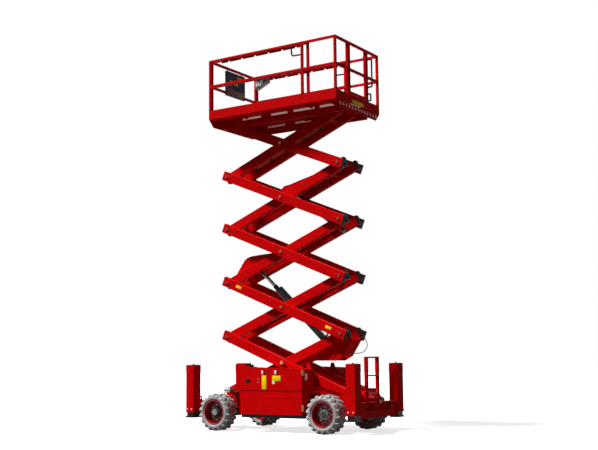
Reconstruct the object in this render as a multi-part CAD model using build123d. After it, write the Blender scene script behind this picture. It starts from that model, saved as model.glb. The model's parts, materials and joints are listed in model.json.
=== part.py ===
from build123d import *
from math import atan2, cos, degrees, hypot, radians, sin
import os

# Rough-terrain scissor lift with five stages, four outriggers and a roll-out deck.
# Millimetres. +Z is up and the ground is Z = 0. The machine drives towards -X, its
# left side is -Y, and X = 0 is midway between the axles.

# ---- running gear
front_axle_x = -1145
rear_axle_to_column = 551.643
wheel_track = 1470
tyre_diameter = 660
tyre_width = 305
tyre_crown_depth = 18
tyre_shoulder_drop = 40
tyre_bead_set = 22
lug_count = 18
lug_width = 54
lug_rake = 24
lug_centre_gap = 10
rim_diameter = 440
rim_wall = 9
rim_lip = 14
rim_gap = 0.5
disc_offset = 4
disc_thickness = 14
hub_radius = 74
hub_length = 72
hub_chamfer = 14
spindle_radius = 34
spindle_seat = 19
axle_half_height = 62
axle_half_width = 75
axle_half_length = 430
axle_tube_radius = 95
kingpin_half_track = 540
kingpin_radius = 26
kingpin_half_height = 104
kingpin_boss_radius = 42
yoke_plate = 34
yoke_half_width = 38
yoke_root = 400
yoke_clearance = 4
knuckle_boss_radius = 60
knuckle_boss_length = 70
steering_arm_reach = 190
steering_arm_drop = 20
steering_arm_width = 32
steering_arm_thickness = 22
tie_rod_radius = 16
tie_rod_drop = 40
tie_rod_eye_height = 28
steering_eye = 22
tie_pin_radius = 10

# ---- scissor stack
stage_count = 5
arm_length = 2640
lift_angle = 22.36
lowest_angle = 4.56
highest_angle = 58.56
lower_pin_height = 685
front_pin_x = -1220
arm_depth = 175
arm_width = 100
arm_wall = 8
arm_corner = 12
arm_overhang = 92
inner_arm_face = 160
arm_gap = 12
pin_radius = 30
pin_cap = 12
pin_cap_radius = 40
sleeve_radius = 54
deck_end_radius = 40
deck_end_taper = 520
running_gap = 0.05
loose_gap = 1.0
cross_tube = 80
cross_tube_wall = 8
tie_from_end = 330
eye_tie_u = 200
lug_tie_u = 100
roller_radius = 38
roller_width = 20
roller_gap = 4
roller_side_gap = 6
track_flange = 12
track_run_out = 60

# ---- lift cylinders, in the frame of the arm that carries each end
lower_barrel_radius = 52
upper_barrel_radius = 62
gland_radius = 44
gland_length = 100
rod_radius = 34
eye_radius = 55
eye_width = 90
eye_gap = 6
barrel_foot = 40
lug_plate = 12
lug_face = 140
lug_root = 64
cylinder_pin_radius = 28
pin_collar = 14
lower_base_from_end = 380
lower_base_v = -240
lower_eye_u = 460
lower_eye_v = 240
upper_base_from_end = 170
upper_base_v = -80
upper_eye_from_middle = 60
upper_eye_v = 160
lower_head_room = 129
upper_head_room = 94
lower_piston_room = 105
upper_piston_room = 197
gusset_thickness = 12
gusset_depth = 105
gusset_foot = 170
gusset_nose = 620
gusset_tail = 60
gusset_tail_v = -150
closing_plate = 8
port_block_length = 330
port_block_width = 54
port_block_height = 34
feed_pipe_radius = 9

# ---- chassis
spine_bottom = 390
spine_top = 490
spine_front_half_width = 300
side_wall_thickness = 12
wall_front = -640
wall_top = 1100
wall_front_height = 900
wall_front_slope = 130
wall_peak_top = 1190
wall_peak_front = 560
wall_peak_rear = 618
wall_step_height = 1017
wall_step_x = 680
wall_tail_height = 740
wall_tail_run = 200
wall_end_gap = 16
wall_peak_slope = 20
window_front_gap = 14
window_slope_run = 84
window_rise = 118
window_rear_gap = 40
window_rear_rise = 12
pin_cheek_half_foot = 110
pin_cheek_half_head = 45
pin_cheek_rise = 65
column_length = 172
column_width = 210
column_wall = 8
column_bottom = 345
column_top = 1172
column_flare = 5
column_flare_height = 24
column_outer_face = 866
front_column_x = -1702
rear_column_gap = 177
leg_clearance = 5
leg_top_gap = 60
leg_pad_thickness = 28
leg_pad_margin = 18
leg_pad_bottom = 222
outrigger_beam_bottom = 262
outrigger_beam_top = 520
outrigger_beam_length = 130
lashing_lug_y = 545
lashing_lug_plate = 18
lashing_lug_height = 44
lashing_lug_radius = 42
lashing_hole_radius = 22
motor_x = -1025
motor_half_length = 62
motor_radius = 44
motor_y = -600
motor_shelf_height = 668
motor_shelf_thickness = 12
motor_shelf_half_length = 85
step_axle_gap = 285
step_plate = 10
step_lip = 30
step_bracket_reach = 560
step_bracket_grip = 43
step_half_length = 50
step_height = 690
beacon_x = 50
beacon_y = -432
beacon_radius = 36
beacon_height = 84
beacon_base = 1150

# ---- side compartments
door_front = -633
door_lower_front = -560
door_axle_gap = 400
door_bottom = 310
door_seam = 723
seam_width = 14
door_top_rear = 1098
door_top_front = 1128
door_hood_top = 1200
door_hood_rear = -464
door_hood_run = 40
door_slope_run = 160
door_outer_face = 870
door_depth = 66
door_skin = 10
door_gap = 8
tray_wall = 8
tray_inset = 12
tray_back_gap = 20
skid_bottom = 250
skid_front_run = 30
hinge_radius = 14
hinge_pin_radius = 6
hinge_half_length = 55
hinge_low = 430
hinge_high = 1030
hinge_leaf = 8
seam_strip_depth = 10
seam_strip_set = 14
seam_strip_half_height = 30
power_block_margin = 60
power_block_top = 900

# ---- ladder
ladder_stand_off = 31
ladder_width = 440
ladder_centre_y = -255
ladder_stringer = 58
ladder_stringer_depth = 50
ladder_bottom = 640
ladder_top = 1290
ladder_bracket_top = 780
ladder_bracket_bottom = 400
ladder_bracket_chin = 520
ladder_bracket_inset = 10
ladder_bar_height = 560
ladder_bar_depth = 40
rung_count = 3
rung_pitch = 305
rung_size = 26
rung_inset = 8

# ---- platform, measured from the top pins and from the deck's own floor
deck_front = -1329
deck_half_width = 781
deck_edge_rise = 37.4
deck_edge_height = 169
deck_plate_rise = 68.4
deck_plate = 6
beam_drop = 104.6
beam_front_run = 40
beam_rear_run = 60
beam_lip_width = 30
deck_end_plate = 8
deck_end_gap = 5.4
skirt_drop = 94
skirt_half_width = 645
toe_thickness = 20
toe_chamfer_run = 25
toe_chamfer_rise = 40
vent_count = 13
vent_width = 24
vent_height = 50
vent_pitch = 107
vent_rise = 48
cross_channel_count = 6
cross_channel_width = 40
cross_channel_front_gap = 149
cross_channel_rear_gap = 245
web_slot_height = 40
web_slot_top_gap = 8
slide_pad_length = 80
slide_pad_width = 36
slide_pad_gap = 0.3
slide_pad_places = (-1230, -530, 170, 800)
guard_height = 1103
mid_rail_height = 617
rail_tube = 42
rail_inset_gap = 8
gate_near_y = -347
gate_far_y = 354
gate_gap = 14
gate_collar_radius = 30
gate_collar_length = 40
gate_collar_rise = 120
gate_collar_drop = 160
mid_post_x = 758
lock_bar_front = -1050
lock_bar_rear = 740
lock_bar_depth = 45
lock_bar_thickness = 8
lock_notch_first = -880
lock_notch_pitch = 300
lock_notch_count = 6
lock_notch_width = 34
lock_notch_depth = 24
extension_deck_length = 2200
extension_plate = 5
extension_gap = 6
extension_toe_drop = 8
handle_radius = 10
handle_bend = 60
hoop_front_x = 538
hoop_drop = 192
grab_stand_off = 90
grab_drop = 218
grab_rise = 302
low_grab_stand_off = 60
low_grab_foot = 12
low_grab_head = 140
panel_near_y = -330
panel_far_y = 260
panel_thickness = 40
panel_top_drop = 94
panel_height = 480
box_front = -1270
box_rear = -980
box_depth = 152
box_top_drop = 54
box_height = 360
box_wedge_run = 80
box_wedge_rise = 90
box_strap = 8
box_strap_width = 24

# ---- values that follow from the sizes above
wheel_radius = tyre_diameter / 2
middle = arm_length / 2
stage_height = arm_length * sin(radians(lift_angle))
outer_arm_face = inner_arm_face + arm_width + arm_gap
outer_arm_side = outer_arm_face + arm_width
pin_end = outer_arm_side + pin_cap
roller_face = outer_arm_side + 2
track_face = outer_arm_side + roller_side_gap
wall_face = roller_face + roller_width + roller_side_gap
wall_side = wall_face + side_wall_thickness
track_half_slot = roller_radius + roller_gap
stowed_pin_x = front_pin_x + arm_length * cos(radians(lowest_angle))
raised_pin_x = front_pin_x + arm_length * cos(radians(highest_angle))
track_front = raised_pin_x - roller_radius - track_run_out
wall_end = stowed_pin_x + arm_overhang + wall_end_gap
rear_column_x = wall_end + rear_column_gap
rear_axle_x = rear_column_x - rear_axle_to_column
door_rear = rear_axle_x - door_axle_gap
step_x = rear_axle_x - step_axle_gap
ladder_face_x = rear_column_x + outrigger_beam_length / 2 + ladder_stand_off
beam_end = stowed_pin_x + deck_end_radius + deck_end_gap
deck_rear = beam_end + deck_end_plate
top_pin_height = lower_pin_height + stage_count * stage_height
deck_edge_bottom = top_pin_height + deck_edge_rise
deck_edge_top = deck_edge_bottom + deck_edge_height
deck_plate_bottom = top_pin_height + deck_plate_rise
deck_top = deck_plate_bottom + deck_plate
beam_bottom = top_pin_height - beam_drop
skirt_bottom = top_pin_height - skirt_drop
rail_top = deck_top + guard_height
rail_mid = deck_top + mid_rail_height
lower_base_u = arm_length - lower_base_from_end
upper_base_u = arm_length - upper_base_from_end
upper_eye_u = middle + upper_eye_from_middle


def pin_height(level):
    return lower_pin_height + level * stage_height


def block(x0, x1, y0, y1, z0, z1):
    return Pos((x0 + x1) / 2, (y0 + y1) / 2, (z0 + z1) / 2) * Box(x1 - x0, y1 - y0, z1 - z0)


def side_block(side, x0, x1, y0, y1, z0, z1):
    """A block given for the +Y side, or its mirror image where side is -1."""
    return block(x0, x1, min(side * y0, side * y1), max(side * y0, side * y1), z0, z1)


def side_plate(outline, y0, y1):
    """A plate whose outline is a list of (x, z) points, between two y faces."""
    wire = Polyline(*[(x, y0, z) for x, z in outline], close=True)
    return extrude(make_face(wire), amount=y1 - y0, dir=(0, 1, 0))


def end_plate(outline, x0, x1):
    """A plate whose outline is a list of (y, z) points, between two x faces."""
    wire = Polyline(*[(x0, y, z) for y, z in outline], close=True)
    return extrude(make_face(wire), amount=x1 - x0, dir=(1, 0, 0))


def rod_between(start, end, radius):
    run = Vector(*end) - Vector(*start)
    return Plane(origin=start, z_dir=run) * Cylinder(
        radius, run.length, align=(Align.CENTER, Align.CENTER, Align.MIN))


def cross_pin(x, z, radius, y0, y1):
    return rod_between((x, y0, z), (x, y1, z), radius)


def upright(x, y, radius, z0, z1):
    return rod_between((x, y, z0), (x, y, z1), radius)


def both_sides(y0, y1):
    """The y range given for the +Y side, and its mirror image."""
    return ((y0, y1), (-y1, -y0))


def square_tube(x0, x1, y0, y1, z0, z1, wall):
    """A hollow box, open at both ends along Y."""
    return block(x0, x1, y0, y1, z0, z1) - block(x0 + wall, x1 - wall, y0, y1, z0 + wall, z1 - wall)


def bent_bar(points, radius, bend):
    """A round bar along straight runs joined by bends."""
    path = FilletPolyline(*points, radius=bend)
    section = Plane(origin=path @ 0, z_dir=path % 0) * Circle(radius)
    return sweep(section, path=path)


# ---- scissor arms, drawn along +X from the pin at the origin

def arm_bar(y0, y1, bores, top_taper=None):
    """One rectangular tube with a sleeve at each pin; bores lists (u, radius)."""
    profile = Plane.YZ * Pos((y0 + y1) / 2, 0) * RectangleRounded(y1 - y0, arm_depth, arm_corner)
    bar = Pos(-arm_overhang, 0, 0) * extrude(profile, arm_length + 2 * arm_overhang)
    bar -= block(-arm_overhang, arm_length + arm_overhang, y0 + arm_wall, y1 - arm_wall,
                 -arm_depth / 2 + arm_wall, arm_depth / 2 - arm_wall)
    if top_taper is not None:
        bar -= side_plate(top_taper, y0, y1)
    for u, radius in bores:
        bar += cross_pin(u, 0, sleeve_radius, y0, y1)
    for u, radius in bores:
        bar -= cross_pin(u, 0, radius, y0, y1)
    return bar


def end_taper(u_end, inward):
    """The wedge cut off the top of a bar so that its end passes under the deck.

    inward is the direction along the bar, from the end pin to the middle."""
    top = arm_depth / 2
    above = 2 * arm_depth
    past_end = u_end - inward * 4 * arm_overhang
    taper_start = u_end + inward * deck_end_taper
    return [(taper_start, top), (taper_start, above), (past_end, above),
            (past_end, sleeve_radius), (u_end, sleeve_radius)]


def trim_end(bar, u_end, inward, y0, y1):
    """Cut a bar off round behind its end pin, short enough for the deck's end plate."""
    past_end = u_end - inward * 4 * arm_overhang
    cut = block(min(u_end, past_end), max(u_end, past_end), y0, y1, -arm_depth, arm_depth)
    return bar - cut + cross_pin(u_end, 0, deck_end_radius, y0, y1)


def cross_member(u, half_width):
    size = cross_tube / 2
    return square_tube(u - size, u + size, -half_width, half_width, -size, size, cross_tube_wall)


def eye_bracket(u, v, outline):
    """Lugs inside the two bars, with a stub of the rod's pin on each; the rod's eye
    hangs between the stubs. outline is the part of each lug above the bar."""
    first_u = outline[0][0]
    last_u = outline[-1][0]
    lug = outline + [(last_u, -lug_root), (first_u, -lug_root)]
    result = None
    for a, b in both_sides(lug_face, lug_face + lug_plate):
        plate = side_plate(lug, a, b)
        result = plate if result is None else result + plate
    for a, b in both_sides(lug_face + lug_plate, inner_arm_face + 2):
        result += block(first_u, last_u, a, b, -lug_root, lug_root)
    for a, b in both_sides(eye_width / 2 + eye_gap, lug_face):
        result += cross_pin(u, v, cylinder_pin_radius + pin_collar, a, b)
    return result


def base_pin(u, v, bearing):
    """A cylinder's base pin, carried at each side at |y| = bearing."""
    result = cross_pin(u, v, cylinder_pin_radius, -bearing, bearing)
    for a, b in both_sides(eye_width / 2 + eye_gap, bearing):
        result += cross_pin(u, v, cylinder_pin_radius + pin_collar, a, b)
    return result


def rollers(u):
    """The round ends of a sliding pin, which run in the tracks."""
    pair = None
    for a, b in both_sides(roller_face, roller_face + roller_width):
        roller = cross_pin(u, 0, roller_radius, a, b)
        pair = roller if pair is None else pair + roller
    return pair


# Outlines of the lugs above the arm's top edge, as (u, v) steps from the eye's centre.
lower_lug_steps = [(-400, -155), (-73, 47), (-8, 63), (96, 54), (298, -11), (484, -77), (712, -150)]
upper_lug_steps = [(-200, -80), (-140, 50), (-18, 78), (104, 47), (342, 15), (650, -35), (850, -76)]

# The cylinders' two ends: the stage whose inner frame carries each, and the place there.
lower_base_at = (1, lower_base_u, lower_base_v)
lower_eye_at = (3, lower_eye_u, lower_eye_v)
upper_base_at = (3, upper_base_u, upper_base_v)
upper_eye_at = (4, upper_eye_u, upper_eye_v)


def lug_outline(eye_at, steps):
    return [(eye_at[1] + du, eye_at[2] + dv) for du, dv in steps]


def on_arm(place, angle=lift_angle):
    """World x and z of a place on an inner arm, with the arms at an angle."""
    stage, u, v = place
    turn = radians(angle)
    rise = arm_length * sin(turn)
    x = front_pin_x + u * cos(turn) - v * sin(turn)
    z = lower_pin_height + (stage - 1) * rise + u * sin(turn) + v * cos(turn)
    return x, z


def inner_frame(stage):
    """The frame that rises to the rear, from its front lower pin."""
    last = stage == stage_count
    far_bore = pin_radius if last else pin_radius + loose_gap
    bores = [(0, pin_radius + running_gap), (middle, pin_radius), (arm_length, far_bore)]
    frame = None
    for a, b in both_sides(inner_arm_face, inner_arm_face + arm_width):
        taper = end_taper(arm_length, -1) if last else None
        bar = arm_bar(a, b, bores, taper)
        if last:
            bar = trim_end(bar, arm_length, -1, a, b)
            bar -= cross_pin(arm_length, 0, pin_radius, a, b)
        frame = bar if frame is None else frame + bar
    for a, b in both_sides(inner_arm_face, pin_end):
        frame += cross_pin(middle, 0, pin_radius, a, b)
    for a, b in both_sides(outer_arm_side + 1, pin_end):
        frame += cross_pin(middle, 0, pin_cap_radius, a, b)
    if last:
        frame += cross_pin(arm_length, 0, pin_radius, -roller_face, roller_face)
        frame += rollers(arm_length)
    rear_tie_u = arm_length - tie_from_end
    ties = {1: (tie_from_end,), 3: (eye_tie_u,), 4: (lug_tie_u, rear_tie_u)}
    ties = ties.get(stage, (tie_from_end, rear_tie_u))
    for u in ties:
        frame += cross_member(u, inner_arm_face + arm_wall / 2)
    if stage == lower_base_at[0]:
        frame += lower_gusset()
    if stage == lower_eye_at[0]:
        frame += eye_bracket(lower_eye_u, lower_eye_v, lug_outline(lower_eye_at, lower_lug_steps))
    if stage == upper_base_at[0]:
        frame += base_pin(upper_base_u, upper_base_v, inner_arm_face + arm_wall / 2)
    if stage == upper_eye_at[0]:
        frame += eye_bracket(upper_eye_u, upper_eye_v, lug_outline(upper_eye_at, upper_lug_steps))
    return frame


def lower_gusset():
    """The deep plates under the first inner frame that carry the main cylinder, with a
    plate across their sloping rear edge."""
    root = -arm_depth / 2 + 6
    low = lower_base_v - gusset_depth
    heel = (lower_base_u + gusset_foot, low + gusset_thickness)
    tail = (arm_length + gusset_tail, gusset_tail_v)
    outline = [(lower_base_u - gusset_nose, root), (lower_base_u, low), heel, tail,
               (arm_length + gusset_tail, root)]
    result = None
    for a, b in both_sides(inner_arm_face, inner_arm_face + gusset_thickness):
        plate = side_plate(outline, a, b)
        result = plate if result is None else result + plate
    strip = [heel, tail, (tail[0], tail[1] + closing_plate), (heel[0], heel[1] + closing_plate)]
    result += side_plate(strip, -inner_arm_face - 2, inner_arm_face + 2)
    return result + base_pin(lower_base_u, lower_base_v, inner_arm_face + gusset_thickness + 8)


def outer_frame(stage):
    """The frame that falls to the rear, from its front upper pin."""
    first = stage == 1
    last = stage == stage_count
    bores = [(0, pin_radius), (middle, pin_radius + running_gap), (arm_length, pin_radius)]
    frame = None
    for a, b in both_sides(outer_arm_face, outer_arm_side):
        taper = end_taper(0, 1) if last else None
        bar = arm_bar(a, b, bores, taper)
        if last:
            bar = trim_end(bar, 0, 1, a, b)
            bar -= cross_pin(0, 0, pin_radius, a, b)
        frame = bar if frame is None else frame + bar
    front_reach = wall_side + 6 if last else pin_end
    frame += cross_pin(0, 0, pin_radius, -front_reach, front_reach)
    rear_stub = outer_arm_face - 10 if first else inner_arm_face - 10
    for a, b in both_sides(rear_stub, roller_face if first else pin_end):
        frame += cross_pin(arm_length, 0, pin_radius, a, b)
    if first:
        frame += rollers(arm_length)
    return frame


def place_inner(stage, shape):
    return Pos(front_pin_x, 0, pin_height(stage - 1)) * Rot(0, -lift_angle, 0) * shape


def place_outer(stage, shape):
    return Pos(front_pin_x, 0, pin_height(stage)) * Rot(0, lift_angle, 0) * shape


# ---- lift cylinders, drawn along +X from the base pin, with -Z on the upper side

def pin_distance(base_at, eye_at, angle):
    base = on_arm(base_at, angle)
    eye = on_arm(eye_at, angle)
    return hypot(eye[0] - base[0], eye[1] - base[1])


def barrel(radius, full_length):
    tube = rod_between((eye_radius - 10, 0, 0), (full_length - gland_length, 0, 0), radius)
    tube += rod_between((full_length - gland_length, 0, 0), (full_length, 0, 0), gland_radius)
    half_eye = eye_width / 2
    tube += cross_pin(0, 0, eye_radius, -half_eye, half_eye)
    tube += block(0, eye_radius + barrel_foot, -half_eye, half_eye, -radius + 16, radius - 16)
    tube -= cross_pin(0, 0, cylinder_pin_radius + running_gap, -eye_width, eye_width)
    return tube


def port_block(radius, full_length):
    """The valve block on the barrel's upper side and the pipe that feeds it."""
    end = full_length - gland_length - 4
    start = end - port_block_length
    half = port_block_width / 2
    top = radius + port_block_height
    pipe_line = radius + feed_pipe_radius + 6
    foot = eye_radius + barrel_foot + 60
    shape = block(start, end, -half, half, -top, -radius / 2)
    shape += rod_between((foot, 0, -pipe_line), (start + 4, 0, -pipe_line), feed_pipe_radius)
    for u in (foot, (foot + start) / 2):
        shape += block(u - 14, u + 14, -16, 16, -pipe_line - feed_pipe_radius - 3, -radius / 2)
    return shape


def rod_bore(full_length):
    return rod_between((eye_radius + barrel_foot, 0, 0), (full_length + 1, 0, 0),
                       rod_radius + running_gap)


def rod(eye_distance, inside_start):
    shape = rod_between((inside_start, 0, 0), (eye_distance - eye_radius + 10, 0, 0), rod_radius)
    return shape + cross_pin(eye_distance, 0, eye_radius, -eye_width / 2, eye_width / 2)


def place_cylinder(base_at, eye_at, shape):
    base = on_arm(base_at)
    eye = on_arm(eye_at)
    angle = degrees(atan2(eye[1] - base[1], eye[0] - base[0]))
    return Pos(base[0], 0, base[1]) * Rot(0, -angle, 0) * shape


# ---- wheels and axles

def revolve_wheel(points):
    """Revolve (y, radius) points about the wheel's own Y axis."""
    wire = Polyline(*[(r, y, 0) for y, r in points], close=True)
    return revolve(make_face(wire), axis=Axis.Y)


def tyre():
    """A carcass with raked block lugs that wrap over both shoulders."""
    half = tyre_width / 2
    bead = rim_diameter / 2
    crown = wheel_radius - tyre_crown_depth
    shoulder = crown - tyre_shoulder_drop
    side = half - 5
    carcass = revolve_wheel([
        (-half + tyre_bead_set, bead), (-side, bead + 30), (-side, shoulder),
        (-side + 34, crown), (side - 34, crown), (side, shoulder),
        (side, bead + 30), (half - tyre_bead_set, bead)])
    section = [(lug_centre_gap, crown - 14), (lug_centre_gap, wheel_radius + 20),
               (side - 22, wheel_radius + 20), (half, shoulder + 24), (half, shoulder - 12),
               (side - 18, shoulder - 12), (side - 40, crown - 14)]
    wire = Polyline(*[(-lug_width / 2, y, z) for y, z in section], close=True)
    bar = extrude(make_face(wire), amount=lug_width, dir=(1, 0, 0))
    pitch = 360 / lug_count
    lugs = None
    for y_side, phase in ((1, 0), (-1, 0.5)):
        for index in range(lug_count):
            lug = bar if y_side > 0 else mirror(bar, about=Plane.XZ)
            lug = Rot(0, (index + phase) * pitch, 0) * Rot(0, 0, -y_side * lug_rake) * lug
            lugs = [lug] if lugs is None else lugs + [lug]
    tread_band = revolve_wheel([(-half, shoulder - 40), (-half, wheel_radius),
                                (half, wheel_radius), (half, shoulder - 40)])
    trimmed = [lug & tread_band for lug in lugs]
    return carcass.fuse(*trimmed)


def rim(side):
    """A deep dish: side is the sign of y that faces away from the machine."""
    half = tyre_width / 2 - rim_lip
    outer = rim_diameter / 2 - rim_gap
    inner = outer - rim_wall
    shell = revolve_wheel([
        (-half, inner - 4), (-half, outer - 4), (-half + 14, outer - 4), (-half + 30, outer),
        (half - 30, outer), (half - 14, outer - 4), (half, outer - 4), (half, inner - 4)])
    disc_at = side * disc_offset
    disc = revolve_wheel([
        (disc_at - disc_thickness / 2, 0), (disc_at - disc_thickness / 2, inner),
        (disc_at + disc_thickness / 2, inner), (disc_at + disc_thickness / 2, 0)])
    hub_end = disc_at + side * hub_length
    hub = revolve_wheel([(disc_at, 0), (disc_at, hub_radius),
                         (hub_end - side * hub_chamfer, hub_radius),
                         (hub_end, hub_radius - hub_chamfer), (hub_end, 0)])
    shape = shell + disc + hub
    spindle_end = disc_at + side * (spindle_seat + 1)
    shape -= rod_between((0, disc_at - side * 40, 0), (0, spindle_end, 0),
                         spindle_radius + running_gap)
    return shape


def spindle(centre_y, side, inner_y, x):
    """The stub that carries a wheel, from inner_y out to the wheel's disc."""
    end = centre_y + side * (disc_offset + spindle_seat)
    return rod_between((x, inner_y, wheel_radius), (x, end, wheel_radius), spindle_radius)


def rear_axle():
    half = wheel_track / 2
    beam = block(rear_axle_x - axle_half_width, rear_axle_x + axle_half_width, -axle_half_length,
                 axle_half_length, wheel_radius - axle_half_height, spine_bottom)
    for side in (-1, 1):
        tube_end = half - tyre_width / 2 + 60
        beam += rod_between((rear_axle_x, side * axle_half_length, wheel_radius),
                            (rear_axle_x, side * tube_end, wheel_radius), axle_tube_radius)
        beam += spindle(side * half, side, side * (tube_end - 10), rear_axle_x)
    return beam


def front_axle():
    beam = block(front_axle_x - axle_half_width, front_axle_x + axle_half_width, -yoke_root,
                 yoke_root, wheel_radius - axle_half_height, spine_bottom)
    top = wheel_radius + kingpin_half_height
    bottom = wheel_radius - kingpin_half_height
    x0 = front_axle_x - yoke_half_width
    x1 = front_axle_x + yoke_half_width
    for side in (-1, 1):
        tip = side * kingpin_half_track
        for z0, z1 in ((bottom, bottom + yoke_plate), (top - yoke_plate, top)):
            beam += side_block(side, x0, x1, yoke_root, kingpin_half_track, z0, z1)
            beam += upright(front_axle_x, tip, yoke_half_width, z0, z1)
        beam += side_block(side, x0, x1, yoke_root, yoke_root + 30, bottom, top)
        beam += upright(front_axle_x, tip, kingpin_radius, bottom, top)
    return beam


def knuckle(side):
    """The steered upright, its spindle and its steering arm."""
    tip = side * kingpin_half_track
    top = wheel_radius + kingpin_half_height - yoke_plate - yoke_clearance
    bottom = wheel_radius - kingpin_half_height + yoke_plate + yoke_clearance
    shape = upright(front_axle_x, tip, kingpin_boss_radius, bottom, top)
    shape += spindle(side * wheel_track / 2, side, tip, front_axle_x)
    shape += rod_between((front_axle_x, tip, wheel_radius),
                         (front_axle_x, tip + side * knuckle_boss_length, wheel_radius),
                         knuckle_boss_radius)
    arm_z = wheel_radius - steering_arm_drop
    arm_low = arm_z - steering_arm_thickness / 2
    arm_high = arm_z + steering_arm_thickness / 2
    arm_end = front_axle_x + steering_arm_reach
    shape += block(front_axle_x, arm_end, tip - steering_arm_width / 2,
                   tip + steering_arm_width / 2, arm_low, arm_high)
    shape += upright(arm_end, tip, steering_eye, arm_low, arm_high)
    shape += upright(arm_end, tip, tie_pin_radius, arm_z - tie_rod_drop - tie_rod_eye_height / 2,
                     arm_z)
    shape -= upright(front_axle_x, tip, kingpin_radius + running_gap, bottom - 1, top + 1)
    return shape


def tie_rod():
    x = front_axle_x + steering_arm_reach
    z = wheel_radius - steering_arm_drop - tie_rod_drop
    y = kingpin_half_track
    half = tie_rod_eye_height / 2
    shape = rod_between((x, -y, z), (x, y, z), tie_rod_radius)
    for side, gap in ((-1, running_gap), (1, loose_gap)):
        shape += upright(x, side * y, steering_eye, z - half, z + half)
        shape -= upright(x, side * y, tie_pin_radius + gap, z - steering_eye, z + steering_eye)
    return shape


# ---- chassis

def chassis_frame():
    frame = block(front_column_x, wall_front, -spine_front_half_width, spine_front_half_width,
                  spine_bottom, spine_top)
    frame += block(wall_front, rear_column_x, -wall_side, wall_side, spine_bottom, spine_top)
    slope_end = wall_end - wall_tail_run
    wall = [(wall_front, spine_bottom), (wall_front, wall_front_height),
            (wall_front + wall_front_slope, wall_top), (wall_peak_front - wall_peak_slope, wall_top),
            (wall_peak_front, wall_peak_top), (wall_peak_rear, wall_peak_top),
            (wall_step_x, wall_step_height), (slope_end, wall_tail_height),
            (wall_end, wall_tail_height), (wall_end, spine_bottom)]
    sill = lower_pin_height - track_half_slot
    window = [(wall_step_x + window_front_gap, sill),
              (wall_step_x + window_slope_run, lower_pin_height + window_rise),
              (slope_end - window_rear_gap, sill + window_rear_rise),
              (slope_end - window_rear_gap, sill)]
    for a, b in both_sides(wall_face, wall_side):
        frame += side_plate(wall, a, b) - side_plate(window, a, b)
    for a, b in both_sides(track_face, wall_face):
        for z0 in (lower_pin_height + track_half_slot,
                   lower_pin_height - track_half_slot - track_flange):
            frame += block(track_front, wall_end, a, b, z0, z0 + track_flange)
    cheek_top = lower_pin_height + pin_cheek_rise
    cheek = [(front_pin_x - pin_cheek_half_foot, spine_top),
             (front_pin_x - pin_cheek_half_head, cheek_top - 10), (front_pin_x - 20, cheek_top),
             (front_pin_x + 20, cheek_top), (front_pin_x + pin_cheek_half_head, cheek_top - 10),
             (front_pin_x + pin_cheek_half_foot, spine_top)]
    for a, b in both_sides(inner_arm_face + arm_width + arm_gap / 2, spine_front_half_width):
        frame += side_plate(cheek, a, b)
    reach = spine_front_half_width + 8
    frame += cross_pin(front_pin_x, lower_pin_height, pin_radius, -reach, reach)
    # steps over the rear wheels, on the walls
    step_front = step_x - step_half_length
    step_end = column_outer_face - column_width
    for side in (-1, 1):
        frame += side_block(side, step_front, step_x + step_half_length, wall_side - 2, step_end,
                            step_height, step_height + step_plate)
        frame += side_block(side, step_front, step_front + step_plate, wall_side - 2, step_end,
                            step_height - step_lip, step_height + step_plate)
        frame += side_block(side, step_front, step_front + step_plate, wall_side - 2,
                            step_bracket_reach, sill - step_bracket_grip, step_height)
    # the shelf that carries the front motor
    shelf_y = motor_y - motor_radius
    frame += block(motor_x - motor_shelf_half_length, motor_x + motor_shelf_half_length, shelf_y,
                   -spine_front_half_width + 12, motor_shelf_height,
                   motor_shelf_height + motor_shelf_thickness)
    frame += block(motor_x - motor_shelf_half_length, motor_x + motor_shelf_half_length,
                   -spine_front_half_width, -spine_front_half_width + 12, spine_top - 10,
                   motor_shelf_height + motor_shelf_thickness)
    # the bracket of the lamp, on the left wall
    half = beacon_radius - 4
    frame += block(beacon_x - half, beacon_x + half, beacon_y - half, -wall_face,
                   beacon_base - 8, beacon_base)
    frame += block(beacon_x - half, beacon_x + half, -wall_side, -wall_face, wall_top - 2,
                   beacon_base)
    return frame


def front_motor():
    """The small motor that stands on the shelf over the front left wheel."""
    floor = motor_shelf_height + motor_shelf_thickness
    shape = rod_between((motor_x - motor_half_length, motor_y, floor + motor_radius),
                        (motor_x + motor_half_length, motor_y, floor + motor_radius), motor_radius)
    shape += block(motor_x - motor_half_length + 10, motor_x + motor_half_length - 10,
                   motor_y - motor_radius + 8, motor_y + motor_radius - 8, floor,
                   floor + motor_radius)
    shape += block(motor_x - 30, motor_x + 30, motor_y - 20, motor_y + 20,
                   floor + motor_radius, floor + 2 * motor_radius + 14)
    return shape


def beacon():
    """The amber lamp on a bracket at the top of the left wall."""
    shape = upright(beacon_x, beacon_y, beacon_radius - 8, beacon_base, beacon_base + 12)
    shape += upright(beacon_x, beacon_y, beacon_radius, beacon_base + 12,
                     beacon_base + beacon_height - 14)
    lens_top = beacon_base + beacon_height
    shape += upright(beacon_x, beacon_y, beacon_radius - 10, lens_top - 14, lens_top)
    return shape


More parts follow.
